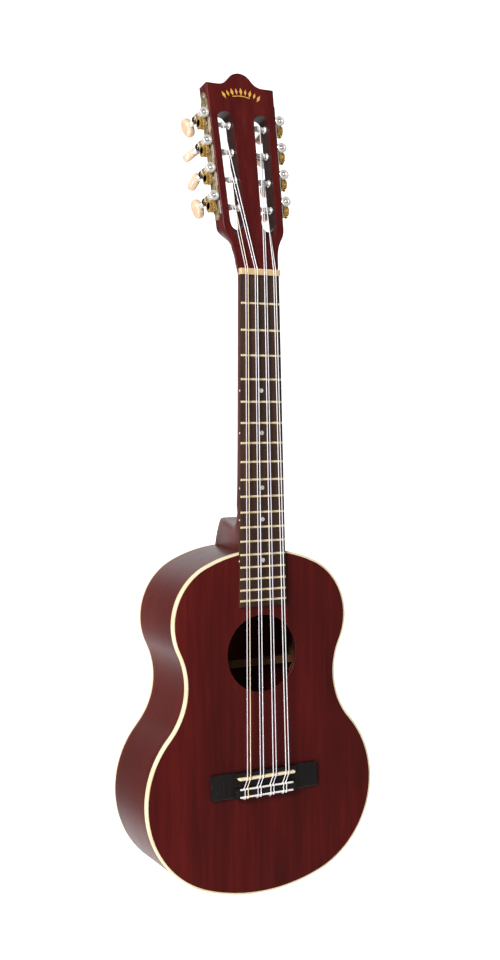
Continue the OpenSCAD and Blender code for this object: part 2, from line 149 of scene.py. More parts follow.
# %% A socket that understands arithmetic
class Value:
    """One output socket of a finish, with the usual arithmetic."""

    def __init__(self, finish, socket):
        self.finish, self.socket = finish, socket

    def math(self, operation, first, second=0.0):
        return self.finish.node("ShaderNodeMath", {"operation": operation}, {0: first, 1: second})

    def __add__(self, other):
        return self.math("ADD", self, other)

    def __sub__(self, other):
        return self.math("SUBTRACT", self, other)

    def __rsub__(self, other):
        return self.math("SUBTRACT", other, self)

    def __mul__(self, other):
        return self.math("MULTIPLY", self, other)

    __radd__ = __add__
    __rmul__ = __mul__


class Finish:
    """A material that is built up from expressions."""

    def __init__(self, name):
        self.material = paint(name)
        self.tree = self.material.node_tree

    def node(self, kind, settings=None, sockets=None, out=0):
        """Add a node: its settings first, then the values or links of its sockets."""
        made = self.tree.nodes.new(kind)
        for key, value in (settings or {}).items():
            if key == "stops":
                while len(made.color_ramp.elements) < len(value):
                    made.color_ramp.elements.new(1.0)
                for element, (place, colour) in zip(made.color_ramp.elements, value):
                    element.position, element.color = place, colour
            else:
                setattr(made, key, value)
        for key, value in (sockets or {}).items():
            if isinstance(value, Value):
                self.tree.links.new(value.socket, made.inputs[key])
            else:
                made.inputs[key].default_value = value
        return Value(self, made.outputs[out])

    def place(self):
        """Coordinates of the piece itself, in metres."""
        return self.node("ShaderNodeTexCoord", out=3)

    def stretch(self, where, scale, turn=(0, 0, 0)):
        return self.node("ShaderNodeMapping",
                         sockets={"Vector": where, "Scale": scale, "Rotation": turn})

    def noise(self, where, scale, detail=3.0, roughness=0.55, distortion=0.0):
        return self.node("ShaderNodeTexNoise",
                         sockets={"Vector": where, "Scale": scale, "Detail": detail,
                                                        "Roughness": roughness,
                                  "Distortion": distortion})

    def ramp(self, factor, *stops):
        return self.node("ShaderNodeValToRGB", {"stops": stops}, {0: factor})

    def band(self, value, low, high):
        """A smooth step from 0 at low to 1 at high."""
        return self.node("ShaderNodeMapRange", {"interpolation_type": "SMOOTHSTEP"},
                         {"Value": value, "From Min": low, "From Max": high})

    def mix(self, factor, first, second, how="MIX"):
        return self.node("ShaderNodeMix", {"data_type": "RGBA", "blend_type": how},
                         {0: factor, 6: first, 7: second},
                         out=2)

    def bump(self, height, strength, distance):
        return self.node("ShaderNodeBump", sockets={"Height": height, "Strength": strength,
                                                    "Distance": distance})

    def close(self, **sockets):
        """Add the surface shader and the output; underscores stand for spaces."""
        shader = self.node("ShaderNodeBsdfPrincipled",
                           sockets={key.replace("_", " "): value for key, value in sockets.items()})
        output = self.tree.nodes.new("ShaderNodeOutputMaterial")
        self.tree.links.new(shader.socket, output.inputs[0])
        return self.material

print("finishes so far:", len(bpy.data.materials))

# %% [markdown]
# ## Wood
#
# Mahogany has short dark pores that run along the grain, slow darker and lighter ribbons, and under a
# red stain the pores take up more colour than the wood between them. The varnish is satin and follows
# the pores a little. On the bent sides the grain follows the bend, so those pieces carry a value that
# says how far along the rim a point is, and the pattern reads it in place of the height.

# %% Stained mahogany
def rgb(red, green, blue):
    """A colour from its screen values, 0 to 255, as linear light."""
    linear = [(value / 255 / 12.92) if value <= 10 else ((value / 255 + 0.055) / 1.055) ** 2.4
              for value in (red, green, blue)]
    return (*linear, 1)

def mahogany(name, dark, middle, bright, sheen=0.36, bent=False, ribbon=26.0, pore_depth=0.5, slot_shade_colour=None):
    finish = Finish(name)
    where = finish.place()
    if bent:
        along = finish.node("ShaderNodeAttribute", {"attribute_name": "along"}, out=2)
        depth = finish.node("ShaderNodeSeparateXYZ", sockets={0: where}, out=1)
        where = finish.node("ShaderNodeCombineXYZ", sockets={0: depth, 1: 0.0, 2: along})
    grain = finish.stretch(where, (1, 1, 0.055))
    pores = finish.noise(grain, 900, 2.0, 0.6)
    streaks = finish.noise(grain, 210, 4.0, 0.6, 0.4)
    ribbons = finish.noise(finish.stretch(where, (1, 1, 0.16)), ribbon, 3.0, 0.5, 0.6)
    clouds = finish.noise(where, 6.0, 3.0, 0.55, 0.3)
    tone = streaks * 0.42 + ribbons * 0.36 + clouds * 0.42 - 0.1
    colour = finish.ramp(tone, (0.26, dark), (0.5, middle), (0.78, bright))
    pore_mask = finish.band(pores, 0.6, 0.7) * finish.band(streaks, 0.35, 0.7)
    colour = finish.mix(pore_mask * 0.55, colour, tuple(0.35 * value for value in dark[:3]) + (1,))
    # The head's slot walls are mixed towards a near-black red by the piece's shade value: painted shade
    # in the recess.
    if slot_shade_colour:
        slot_shade = finish.node("ShaderNodeAttribute", {"attribute_name": "shade"}, out=2)
        colour = finish.mix(slot_shade * 0.9, colour, slot_shade_colour)
    fibres = finish.noise(finish.stretch(where, (1, 1, 0.03)), 1500, 2.0)
    skin = fibres * 0.35 + streaks * 0.4 - pore_mask * 1.0
    return finish.close(Base_Color=colour, Roughness=pore_mask * 0.22 + streaks * 0.12 + (sheen - 0.06),
                        Normal=finish.bump(skin, pore_depth, 0.00022), Coat_Weight=0.0,
                        Specular_IOR_Level=0.32, IOR=1.45)

top_wood = mahogany("satin_mahogany_top", rgb(52, 11, 9), rgb(82, 17, 15), rgb(110, 28, 22))
body_wood = mahogany("satin_mahogany_side", rgb(52, 12, 9), rgb(82, 20, 15), rgb(114, 36, 26),
                     bent=True)
back_wood = mahogany("satin_mahogany_back", rgb(52, 12, 9), rgb(82, 20, 15), rgb(114, 36, 26),
                     ribbon=34.0)
# The neck's finish darkens the walls of the head's slots to a near-black red: painted shade.
neck_wood = mahogany("satin_mahogany_neck", rgb(50, 10, 9), rgb(83, 18, 16), rgb(114, 31, 25),
                     ribbon=44.0,
                     slot_shade_colour=rgb(38, 8, 6))
print("mahogany finishes:", [m.name for m in (top_wood, body_wood, back_wood, neck_wood)])

# %% Rosewood, black wood and the plain wood inside
def dense_wood(name, dark, middle, bright, roughness, pore_scale, coat=0.0):
    finish = Finish(name)
    where = finish.place()
    grain = finish.stretch(where, (1, 1, 0.06))
    lines = finish.noise(grain, 160, 5.0, 0.62, 0.8)
    pores = finish.band(finish.noise(grain, pore_scale, 2.0, 0.6), 0.58, 0.68)
    clouds = finish.noise(finish.stretch(where, (1, 1, 0.3)), 30, 3.0)
    colour = finish.ramp(lines * 0.65 + clouds * 0.35, (0.3, dark), (0.52, middle), (0.74, bright))
    colour = finish.mix(pores * 0.6, colour, tuple(0.3 * value for value in dark[:3]) + (1,))
    return finish.close(Base_Color=colour, Roughness=pores * 0.25 + roughness, Coat_Weight=coat,
                        Normal=finish.bump(lines * 0.3 - pores, 0.45, 0.0002))

rosewood = dense_wood("oiled_rosewood", rgb(36, 20, 14), rgb(60, 37, 24), rgb(88, 58, 37), 0.44, 800)
black_wood = dense_wood("oiled_black_wood", rgb(10, 6, 6), rgb(17, 11, 10), rgb(26, 18, 17), 0.42, 900)
inner_wood = dense_wood("bare_inner_wood", rgb(120, 82, 52), rgb(150, 108, 70), rgb(174, 130, 88),
                        0.7, 600)
print("other woods:", rosewood.name, black_wood.name, inner_wood.name)

# %% [markdown]
# ## Cream, bone and pearl
#
# The edges are cream plastic, which is even but never quite flat. The nut and the saddle are bone,
# with faint growth lines and fine scratches from sanding. The buttons imitate pearl: soft swirls of
# peach and ivory under a polished skin. The position dots are pearl too, with a cooler colour.

# %% Pale finishes
def cream_plastic(name, base, shade, roughness):
    finish = Finish(name)
    where = finish.place()
    mottle = finish.noise(where, 55, 4.0)
    scratches = finish.noise(finish.stretch(where, (1, 1, 0.2)), 700, 3.0)
    return finish.close(Base_Color=finish.mix(finish.band(mottle, 0.3, 0.75), base, shade),
                        Roughness=scratches * 0.16 + roughness,
                        Normal=finish.bump(scratches, 0.12, 0.0001), Subsurface_Weight=0.08,
                        Subsurface_Radius=(0.002, 0.0015, 0.001), Subsurface_Scale=1.0)

binding_cream = cream_plastic("edge_cream", rgb(246, 232, 196), rgb(232, 212, 168), 0.3)
strip_white = cream_plastic("strip_white", rgb(250, 247, 240), rgb(238, 232, 222), 0.35)

def bone_finish(name, low, middle, high):
    finish = Finish(name)
    where = finish.place()
    rings = finish.noise(finish.stretch(where, (0.2, 1, 1)), 260, 4.0, 0.6, 0.5)
    specks = finish.band(finish.noise(where, 900, 2.0), 0.64, 0.74)
    colour = finish.ramp(rings, (0.3, low), (0.55, middle), (0.8, high))
    colour = finish.mix(specks * 0.35, colour, rgb(206, 172, 122))
    return finish.close(Base_Color=colour, Roughness=rings * 0.15 + 0.26,
                        Normal=finish.bump(rings + specks, 0.15, 0.0001), Subsurface_Weight=0.1,
                        Subsurface_Radius=(0.002, 0.0014, 0.0009), Subsurface_Scale=1.0)

bone = bone_finish("filed_bone", rgb(206, 174, 126), rgb(218, 188, 142), rgb(228, 202, 160))
pale_bone = bone_finish("pale_bone", rgb(244, 218, 176), rgb(250, 230, 194), rgb(253, 240, 212))

def swirled(name, scale, stops, roughness, coat):
    finish = Finish(name)
    where = finish.place()
    drift = finish.noise(where, scale * 0.35, 2.0)
    folds = finish.noise(finish.stretch(where, (1.0, 0.45, 1.0), (0.5, 0.3, 0.2)), scale, 3.0, 0.5, 2.2)
    waves = finish.node("ShaderNodeMath", {"operation": "SINE"}, {0: folds * 17.0 + drift * 6.0})
    colour = finish.ramp(waves * 0.5 + 0.5, *stops)
    return finish.close(Base_Color=colour, Roughness=folds * 0.12 + roughness, Coat_Weight=coat,
                        Coat_Roughness=0.08, Normal=finish.bump(folds, 0.05, 0.0002))

button_pearl = swirled("peach_button", 44, ((0.0, rgb(226, 192, 160)), (0.45, rgb(232, 200, 168)),
                                            (0.75, rgb(236, 206, 176)), (1.0, rgb(242, 216, 188))),
                       0.22, 0.5)
dot_pearl = swirled("mother_of_pearl", 420, ((0.0, rgb(206, 212, 208)), (0.5, rgb(232, 234, 226)),
                                       (1.0, rgb(250, 250, 246))), 0.2, 0.5)
print("pale finishes:", len(bpy.data.materials))

# %% [markdown]
# ## Metal and nylon
#
# The plates are brass that was darkened and then rubbed, with stains of both tones. The gears are
# yellower brass. Rollers, shafts and the front rings are nickel, with the fine turned lines of a
# lathe. In a dim room a full mirror would look black, so most of these metals are mixed with a little
# plain colour; only the big bronze beads are wholly metallic. The strings are clear nylon, which reads
# as pale grey from a distance, with a warm one among them.

# %% Metals
def metal(name, base, tarnish, roughness, wear_scale, turned=False, cover=0.5, mirror=0.7):
    finish = Finish(name)
    where = finish.place()
    stains = finish.noise(where, wear_scale, 5.0, 0.6)
    fine = finish.noise(where, wear_scale * 9, 3.0)
    mask = finish.band(stains * 0.8 + fine * 0.2, cover - 0.12, cover + 0.16)
    lines = finish.noise(finish.stretch(where, (1, 8, 1)), 900, 2.0) if turned else fine
    return finish.close(Base_Color=finish.mix(mask, base, tarnish), Metallic=mirror,
                        Roughness=mask * 0.2 + lines * 0.1 + roughness,
                        Normal=finish.bump(lines * 0.5 + stains * 0.5, 0.12, 0.00012))

old_brass = metal("antique_brass", rgb(206, 188, 150), rgb(112, 94, 66), 0.26, 160, cover=0.5)
gear_brass = metal("cut_brass", rgb(214, 176, 98), rgb(150, 116, 58), 0.24, 260, cover=0.54,
                   mirror=0.55)
nickel = metal("polished_nickel", rgb(246, 242, 238), rgb(214, 206, 200), 0.14, 150, turned=True,
               cover=0.64,
               mirror=0.5)
fret_metal = metal("fret_brass", rgb(246, 226, 186), rgb(220, 194, 150), 0.25, 180, turned=True,
                   cover=0.62, mirror=0.25)
bead_metal = metal("bead_bronze", rgb(74, 68, 60), rgb(40, 38, 34), 0.14, 120, cover=0.55, mirror=1.0)
gold_leaf = metal("gold_leaf", rgb(240, 184, 88), rgb(216, 156, 66), 0.4, 300, cover=0.6, mirror=0.15)

def nylon(name, tint):
    finish = Finish(name)
    where = finish.place()
    wrap = finish.noise(finish.stretch(where, (1, 1, 0.1)), 900, 2.0)
    return finish.close(Base_Color=finish.mix(finish.band(wrap, 0.3, 0.7), tint,
                                              tuple(0.88 * v for v in tint[:3]) + (1,)),
                        Roughness=wrap * 0.15 + 0.18, Coat_Weight=0.4, Coat_Roughness=0.1,
                        Normal=finish.bump(wrap, 0.08, 0.00005), Subsurface_Weight=0.25,
                        Subsurface_Radius=(0.001, 0.001, 0.001), Subsurface_Scale=1.0)

clear_nylon = nylon("clear_string", rgb(253, 250, 250))
warm_nylon = nylon("warm_string", rgb(250, 226, 190))
grey_nylon = nylon("grey_string", rgb(236, 228, 240))
print("finishes made:", len(bpy.data.materials))

# %% [markdown]
# ## Closing a piece
#
# A piece is drawn in millimetres in a bmesh. Closing it merges its doubles, turns its faces outwards,
# marks the sharp edges, and moves it to its place before it becomes an object at the origin. A weighted
# normal modifier lets large flat faces win at a rounded edge, so they stay flat in the light.

# %% From a drawing to an object
MM = 0.001

def close_piece(bm, name, material, body="instrument", stands_for=(), place=None, crease=38):
    """Turn a drawing into an object, which rides on a body and stands for CAD nodes."""
    bmesh.ops.remove_doubles(bm, verts=bm.verts, dist=0.002)
    if place is not None:
        bm.transform(place)
    bmesh.ops.recalc_face_normals(bm, faces=bm.faces)
    for face in bm.faces:
        face.smooth = True
    for edge in bm.edges:
        edge.smooth = edge.is_manifold and edge.calc_face_angle() < radians(crease)
    bm.transform(Matrix.Scale(MM, 4))
    mesh = bpy.data.meshes.new(name)
    bm.to_mesh(mesh)
    bm.free()
    piece = bpy.data.objects.new(name, mesh)
    bpy.context.collection.objects.link(piece)
    mesh.materials.append(material)
    shading = piece.modifiers.new("flat_faces", "WEIGHTED_NORMAL")
    shading.keep_sharp = True
    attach(piece, body)
    if stands_for:
        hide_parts(*stands_for)
    print(f"{name}: {len(mesh.vertices)} points")
    return piece

# %% Small drawing tools
shift = Matrix.Translation

def turn(angle, axis):
    """A turn by degrees about an axis."""
    return Matrix.Rotation(radians(angle), 4, axis)

def fresh(result, kind=bmesh.types.BMVert):
    """The points, edges or faces that an operator made."""
    return [part for part in result["geom"] if isinstance(part, kind)]

def trace(bm, start, *moves, axis=(0, 1, 0)):
    """Draw a chain: a point to go straight to, or (centre, degrees, steps) to turn about the axis."""
    old = set(bm.edges)
    pen = bm.verts.new(start)
    for move in moves:
        if len(move) == 3 and not isinstance(move[0], (tuple, list)):
            pen = bmesh.ops.extrude_vert_indiv(bm, verts=[pen])["verts"][0]
            pen.co = move
        else:
            centre, angle, steps = move
            pen = bmesh.ops.spin(bm, geom=[pen], cent=centre, axis=axis, angle=radians(angle),
                                 steps=steps)["geom_last"][0]
    return [edge for edge in bm.edges if edge not in old]

def mirror_x(bm, edges):
    """Complete a half outline with its mirror image."""
    points = {point for edge in edges for point in edge.verts}
    old = set(bm.edges) - set(edges)
    bmesh.ops.mirror(bm, geom=list(points) + list(edges), matrix=Matrix.Identity(4),
                     merge_dist=0.01, axis="X")
    return [edge for edge in bm.edges if edge not in old]

def thicken(bm, move, faces=None):
    """Give flat faces a thickness along a vector."""
    sheet = faces or bm.faces[:]
    grown = bmesh.ops.extrude_face_region(bm, geom=sheet)
    bmesh.ops.translate(bm, verts=fresh(grown), vec=move)

def block_at(bm, size, middle):
    """A cube stretched to a size, about a middle."""
    bmesh.ops.create_cube(bm, size=1.0, matrix=shift(middle) @ Matrix.Diagonal((*size, 1)))

def soften(bm, size, segments=3, least=50, edges=None):
    """Round the edges that turn by more than a number of degrees."""
    sharp = edges or [e for e in bm.edges if e.is_manifold and e.calc_face_angle() > radians(least)]
    bmesh.ops.bevel(bm, geom=sharp, offset=size, offset_type="OFFSET", affect="EDGES",
                    segments=segments,
                    profile=0.5, material=-1, clamp_overlap=True)

def skin(bm, *rings, closed=False):
    """Bridge rings of edges, one after the other. A ring is moved aside while its bridge is built,
    because the operator pairs rings of one plane the wrong way round."""
    aside = Vector((0, 4, 0))
    pairs = list(zip(rings, rings[1:])) + ([(rings[-1], rings[0])] if closed else [])
    for first, second in pairs:
        points = list({point for edge in second for point in edge.verts})
        depths = [{round(point.co.y,
                         3) for edge in ring for point in edge.verts} for ring in (first, second)]
        flat = depths[0] == depths[1] and len(depths[0]) == 1
        if flat:
            bmesh.ops.translate(bm, verts=points, vec=aside)
        bmesh.ops.bridge_loops(bm, edges=list(first) + list(second))
        if flat:
            bmesh.ops.translate(bm, verts=points, vec=-aside)

def turned(bm, profile, centre, axis, angle=360, steps=24):
    """Spin a profile, which is a chain of points from axis to axis, into a lathed solid."""
    chain = [bm.verts.new(point) for point in profile]
    edges = [bm.edges.new(pair) for pair in zip(chain, chain[1:])]
    bmesh.ops.spin(bm, geom=edges, cent=centre, axis=axis, angle=radians(angle), steps=steps,
                   use_merge=angle == 360)
    bmesh.ops.remove_doubles(bm, verts=bm.verts, dist=0.0005)

print("drawing tools ready")

# %% [markdown]
# ## The body's outline
#
# A luthier draws the outline from tangent arcs: a flat one at the neck, the upper bout, the waist, the
# lower bout and the tail. Turning one point about the five centres, in that order, draws half of the
# rim; each arc starts where the last one ended, so the curve is smooth by itself. Insets share the
# centres, so they are drawn by starting a little further in.

# %% Stations and planes of the instrument
NUT, NUT_WIDE, BOARD, TOP, BACK = -14.0, 5.2, -12.0, -9.0, 65.0
SCALE_LENGTH = 432.0
BODY_TOP, BODY_LOW = -249.97, -550.66
SIDE_THICK, TOP_THICK = 1.8, 2.2
HOLE_Z, HOLE_R = -340.4, 33.5

def fret_z(number):
    return NUT - SCALE_LENGTH * (1 - 2 ** (-number / 12))

def board_half(z):
    return 18.6 + 4.2 * (NUT - z) / 284.8

def bearing(start, end):
    return degrees(atan2(end[1] - start[1], end[0] - start[0]))

r_top, r_upper, r_waist, r_lower = 124.9, 54.7, 64.2, 84.0
top_c = (0.0, BODY_TOP - r_top)
upper_c = (84.6 - r_upper, top_c[1] + sqrt((r_top - r_upper) ** 2 - (84.6 - r_upper) ** 2))
waist_c = (72.8 + r_waist,
           upper_c[1] - sqrt((r_upper + r_waist) ** 2 - (72.8 + r_waist - upper_c[0]) ** 2))
lower_c = (110.7 - r_lower,
           waist_c[1] - sqrt((r_waist + r_lower) ** 2 - (waist_c[0] - 110.7 + r_lower) ** 2))
reach = BODY_LOW + r_lower
tail_c = (0.0, (reach ** 2 - lower_c[1] ** 2 - lower_c[0] ** 2) / (2 * (reach - lower_c[1])))
a1, a2, a3, a4 = (bearing(top_c, upper_c), bearing(upper_c, waist_c), bearing(waist_c, lower_c),
                  bearing(tail_c, lower_c))
print("tail radius", round(tail_c[1] - BODY_LOW, 1))

def half_rim(bm, inset, y):
    """Half of the rim at a depth, from the neck to the tail."""
    turns = [(top_c, 90 - a1, 14), (upper_c, a1 - a2, 26), (waist_c, a2 - a3 - 180, 20),
             (lower_c, a3 + 180 - a4, 30), (tail_c, a4 + 90, 12)]
    moves = [((c[0], y, c[1]), angle, steps) for c, angle, steps in turns]
    return trace(bm, (0, y, BODY_TOP - inset), *moves)

def rim(bm, inset, y):
    return mirror_x(bm, half_rim(bm, inset, y))

# %% [markdown]
# ## Soundboard and back
#
# The soundboard is a thin plate with a round hole and no rosette. Its rim meets the cream edge in a
# hairline groove, and its hole is eased with sandpaper. Rings at small insets give those soft edges
# exactly, and the flat faces between the outer ring and the hole are filled at the end.

# %% Soundboard and back plate
def ring_round(bm, radius, y, z=HOLE_Z, x=0.0, segments=72):
    """A horizontal-axis circle of edges, facing along Y."""
    old = set(bm.edges)
    bmesh.ops.create_circle(bm, segments=segments, radius=radius,
                            matrix=shift((x, y, z)) @ turn(90, "X"))
    return [edge for edge in bm.edges if edge not in old]

def plate(name, face_y, far_y, hole, material, node):
    bm = bmesh.new()
    way = 1 if far_y > face_y else -1
    steps = ((SIDE_THICK + 0.2, face_y), (SIDE_THICK + 0.06, face_y + 0.05 * way),
             (SIDE_THICK + 0.01, face_y + 0.2 * way),
             (SIDE_THICK + 0.01, far_y))
    rims = [rim(bm, inset, y) for inset, y in steps]
    skin(bm, *rims)
    front, rear = list(rims[0]), list(rims[-1])
    if hole:
        steps = ((0.7, face_y), (0.3, face_y + 0.1 * way), (0.07, face_y + 0.35 * way),
                 (0, face_y + 0.8 * way), (0, far_y))
        rounds = [ring_round(bm, HOLE_R + grow, y) for grow, y in steps]
        skin(bm, *rounds)
        front, rear = front + list(rounds[0]), rear + list(rounds[-1])
    for edges in (front, rear):
        bmesh.ops.triangle_fill(bm, use_beauty=True, edges=edges, normal=(0, 1, 0))
    return close_piece(bm, name, material, stands_for=(node,))

plate("soundboard_plate", TOP, TOP + TOP_THICK, True, top_wood, "soundboard")
plate("back_plate", BACK, BACK - TOP_THICK, False, back_wood, "back")

# %% [markdown]
# ## Sides and edges
#
# A side is one thin board bent to half of the outline. Two half rims bridged to a strip and pushed back
# along the depth make it. Each point keeps its distance along the rim, which the wood finish reads, so
# the grain runs round the bend as it does on the real thing.

# %% Bent sides
def side(name, sign, node):
    bm = bmesh.new()
    along = bm.verts.layers.float.new("along")
    chains = [half_rim(bm, inset, TOP + 4.4) for inset in (0.12, SIDE_THICK)]
    for chain in chains:
        walked = 0.0
        for edge in chain:
            for point in edge.verts:
                point[along] = max(point[along], 0.0)
            far = edge.verts[1]
            walked += edge.calc_length() * MM
            far[along] = walked
    skin(bm, *chains)
    thicken(bm, (0, BACK - TOP - 4.4 - 2.9, 0))
    return close_piece(bm, name, body_wood, stands_for=(node,),
                       place=Matrix.Scale(sign, 4, (1, 0, 0)), crease=50)

side("side_board_treble", 1, "side_treble")
side("side_board_bass", -1, "side_bass")

# %% Cream edges
def binding(name, y_face, y_far, width, node):
    """An edge strip with a rounded outer corner, all round the body."""
    way = 1 if y_far > y_face else -1
    bm = bmesh.new()
    corner = ((SIDE_THICK - 0.02, y_far), (0.0, y_far), (0.0, y_face + width * way),
              (0.07, y_face + width * 0.62 * way),
              (0.27, y_face + width * 0.3 * way), (0.55, y_face + width * 0.1 * way), (width, y_face),
              (SIDE_THICK - 0.02, y_face))
    skin(bm, *[rim(bm, inset, y) for inset, y in corner], closed=True)
    return close_piece(bm, name, binding_cream, stands_for=(node,), crease=55)

binding("edge_strip_top", TOP, TOP + 4.5, 0.9, "binding_top")
binding("edge_strip_back", BACK, BACK - 3.0, 0.9, "binding_back")

# %% [markdown]
# ## Neck and heel
#
# The neck is carved from one piece: a flattened half round behind the fingerboard, which runs into the
# square section of the head above and fans out into a tall heel below. A ring of points is turned by
# half a turn, then squared and stretched between a base and a crown. Bridging such rings follows the
# carver's own way of working, from station to station. The heel's top meets its flat cheeks in a crisp
# edge, so its rings are nearly square.

# %% Frame of the head
HEAD_TILT = radians(10.6)
HEAD_THICK = 15.0
head_place = shift((0, TOP, NUT + NUT_WIDE)) @ Matrix.Rotation(-HEAD_TILT, 4, "X")

def in_head(y, l):
    """Depth and height of a point on the head's middle line."""
    point = head_place @ Vector((0, y, l))
    return point.y, point.z

HEEL_Z = BODY_TOP + 25
HEEL_END = BACK - 1

def neck_ring(bm, half, base, crown, square, flat=0.85):
    """One section of the neck, from the base line to its crown."""
    edges = trace(bm, (1, 0, 0), ((0, 0, 0), -180, 28))
    points = {point for edge in edges for point in edge.verts}
    for point in points:
        x, rise = point.co.x, abs(point.co.z)
        x = (abs(x) ** square) * (1 if x > 0 else -1) if abs(x) > 1e-6 else 0.0
        rise = rise ** (square * flat) if rise > 1e-6 else 0.0
        point.co = (x * half, base[0] + (crown[0] - base[0]) * rise,
                    base[1] + (crown[1] - base[1]) * rise)
    ends = [point for point in points if len(point.link_edges) == 1]
    return list(edges) + [bm.edges.new(ends)]

def heel_half(y):
    return 21.4 - 11.9 * max(0.0, y + 3) / 67.0

neck_bm = bmesh.new()
stations = []
for l, half, depth, square in ((20.6, 22.2, 14.9, 0.92), (17, 21.35, 14.8, 0.95),
                               (13, 20.6, 14.6, 0.98),
                               (9, 20.25, 14.4, 1.0), (5, 20.0, 14.2, 1.0), (1.5, 19.5, 14.0, 1.0)):
    stations.append((half, in_head(0, l), in_head(depth, l), square))
for z, depth, square in ((NUT + 1, 13.9, 1.0), (NUT - 12, 13.5, 1.0), (-60, 13.7, 1.0),
                         (-110, 13.9, 1.0),
                         (-160, 14.3, 1.0), (-195, 14.8, 0.95), (HEEL_Z + 14, 15.0, 0.85)):
    stations.append((board_half(z) - 0.25, (TOP, z), (TOP + depth, z), square))
for base, crown, square in (((TOP, HEEL_Z + 7), (6.6, HEEL_Z + 7.2), 0.7),
                            ((TOP, HEEL_Z - 2), (7.6, HEEL_Z + 2.4), 0.55),
                            ((TOP, HEEL_Z - 12), (10, HEEL_Z - 1.2), 0.42),
                            ((TOP, HEEL_Z - 22), (15, HEEL_Z - 3.0), 0.34),
                            ((-2, BODY_TOP - 4), (22, HEEL_Z - 3.0), 0.28),
                            ((12, BODY_TOP - 4), (30, HEEL_Z - 2.6), 0.25),
                            ((26, BODY_TOP - 4), (40, HEEL_Z - 1.4), 0.24),
                            ((38, BODY_TOP - 4), (50, HEEL_Z), 0.26),
                            ((46, BODY_TOP - 4), (56, HEEL_Z - 5.5), 0.3),
                            ((52, BODY_TOP - 4), (60.5, HEEL_Z - 11.5), 0.34),
                            ((58, BODY_TOP - 4), (63, HEEL_Z - 17), 0.38),
                            ((62, BODY_TOP - 4), (HEEL_END, HEEL_Z - 23), 0.4)):
    stations.append((heel_half(crown[0]), base, crown, square))
rings = [neck_ring(neck_bm, *station) for station in stations]
skin(neck_bm, *rings)
bmesh.ops.holes_fill(neck_bm, edges=list(rings[0]) + list(rings[-1]), sides=0)
close_piece(neck_bm, "neck_and_heel", neck_wood, stands_for=("neck",), crease=46)

# %% [markdown]
# ## Slotted head
#
# The head is a flat board with a wave at its crown and two long slots, where the strings drop to their
# rollers. Its outline is turned and filled, and its rims are rounded. The flat faces are then opened
# again, so that the slots can be cut: each slot is a tower of rings, eased at both faces, and its lower
# end runs out in a shallow ramp that lets the lowest strings through.

# %% Head outline and slots
CORNER, CREST, CREST_REACH = 166.5, 178.3, 22.0
SIDE_LOW, HALF_LOW, HALF_TOP = 39.0, 29.4, 32.9
LEAN = atan2(HALF_TOP - HALF_LOW, CORNER - SIDE_LOW)
r_crest = (CREST_REACH ** 2 + (CREST - CORNER) ** 2) / (4 * (CREST - CORNER))
a_crest = degrees(asin(CREST_REACH / (2 * r_crest)))
a_flare = degrees(asin((SIDE_LOW - 8.0) / (37.4 + 20.0)))
a_split = degrees(asin((20.0 - 8.0) / 37.4))

def side_place(sign):
    """The frame of one side of the head: x outwards, y into the head, z along the side."""
    return (Matrix.Scale(sign, 4, (1, 0, 0)) @ shift((HALF_LOW, 0, SIDE_LOW))
            @ Matrix.Rotation(LEAN, 4, "Y"))

SLOT_WALL, SLOT_WIDE, SLOT_HIGH, SLOT_LOW = 7.0, 14.5, 102.5, -4.5
SLOT_TURN = SLOT_LOW + SLOT_WIDE / 2

def slot_ring(bm, sign, y, grow, low, narrow=1.0):
    """A slot's outline with round ends: grow widens it, low moves its lower end, narrow tapers that."""
    middle, radius = -SLOT_WALL - SLOT_WIDE / 2, SLOT_WIDE / 2 + grow
    high = SLOT_HIGH - SLOT_WIDE / 2
    edges = trace(bm, (middle + radius, y, high), ((middle, y, high), -180, 20),
                  (middle - radius, y, SLOT_TURN), ((middle, y, SLOT_TURN), -180, 20))
    points = {point for edge in edges for point in edge.verts}
    ends = [point for point in points if len(point.link_edges) == 1]
    edges = list(edges) + [bm.edges.new(ends)]
    for point in points:
        if point.co.z < SLOT_TURN - 0.01:
            share = (SLOT_TURN - point.co.z) / radius
            point.co.z -= low * share
            point.co.x = middle + (point.co.x - middle) * (1 - (1 - narrow) * share)
    bmesh.ops.transform(bm, matrix=side_place(sign), verts=list(points))
    return edges

head_bm = bmesh.new()
# The shade value marks where the neck's finish paints shade on the slot walls.
shade = head_bm.verts.layers.float.new("shade")
half_low_x = 20.3 + 37.4
half = trace(head_bm, (half_low_x - 37.4 * cos(radians(a_split)), 0, 20.0),
             ((half_low_x, 0, 8.0), a_flare - a_split, 6),
             ((HALF_LOW - 20.0, 0, SIDE_LOW), -a_flare, 10),
             (HALF_TOP, 0, CORNER), (CREST_REACH, 0, CORNER),
             ((CREST_REACH, 0, CORNER + r_crest), a_crest, 9),
             ((0, 0, CREST - r_crest), -a_crest, 9))
outline = mirror_x(head_bm, half)
ends = [point for edge in outline for point in edge.verts if len(point.link_edges) == 1]
outline.append(head_bm.edges.new(ends))
bmesh.ops.edgeloop_fill(head_bm, edges=outline)
thicken(head_bm, (0, HEAD_THICK, 0))
soften(head_bm, 0.9, 3, edges=[e for e in head_bm.edges if e.calc_face_angle() > radians(60)
                               and abs(e.verts[0].co.y - e.verts[1].co.y) < 0.1
                               and max(v.co.z for v in e.verts) > 21])
for y in (0.0, HEAD_THICK):
    way = 1 if y == 0 else -1
    cap = max((f for f in head_bm.faces if abs(f.calc_center_median().y - y) < 0.01),
              key=lambda f: f.calc_area())
    edges = list(cap.edges)
    bmesh.ops.delete(head_bm, geom=[cap], context="FACES_ONLY")
    for sign in (1, -1):
        edges += slot_ring(head_bm, sign, y, 0.5, 12.0 if y == 0 else 0, 0.55 if y == 0 else 1)
    bmesh.ops.triangle_fill(head_bm, use_beauty=True, edges=edges, normal=(0, 1, 0))
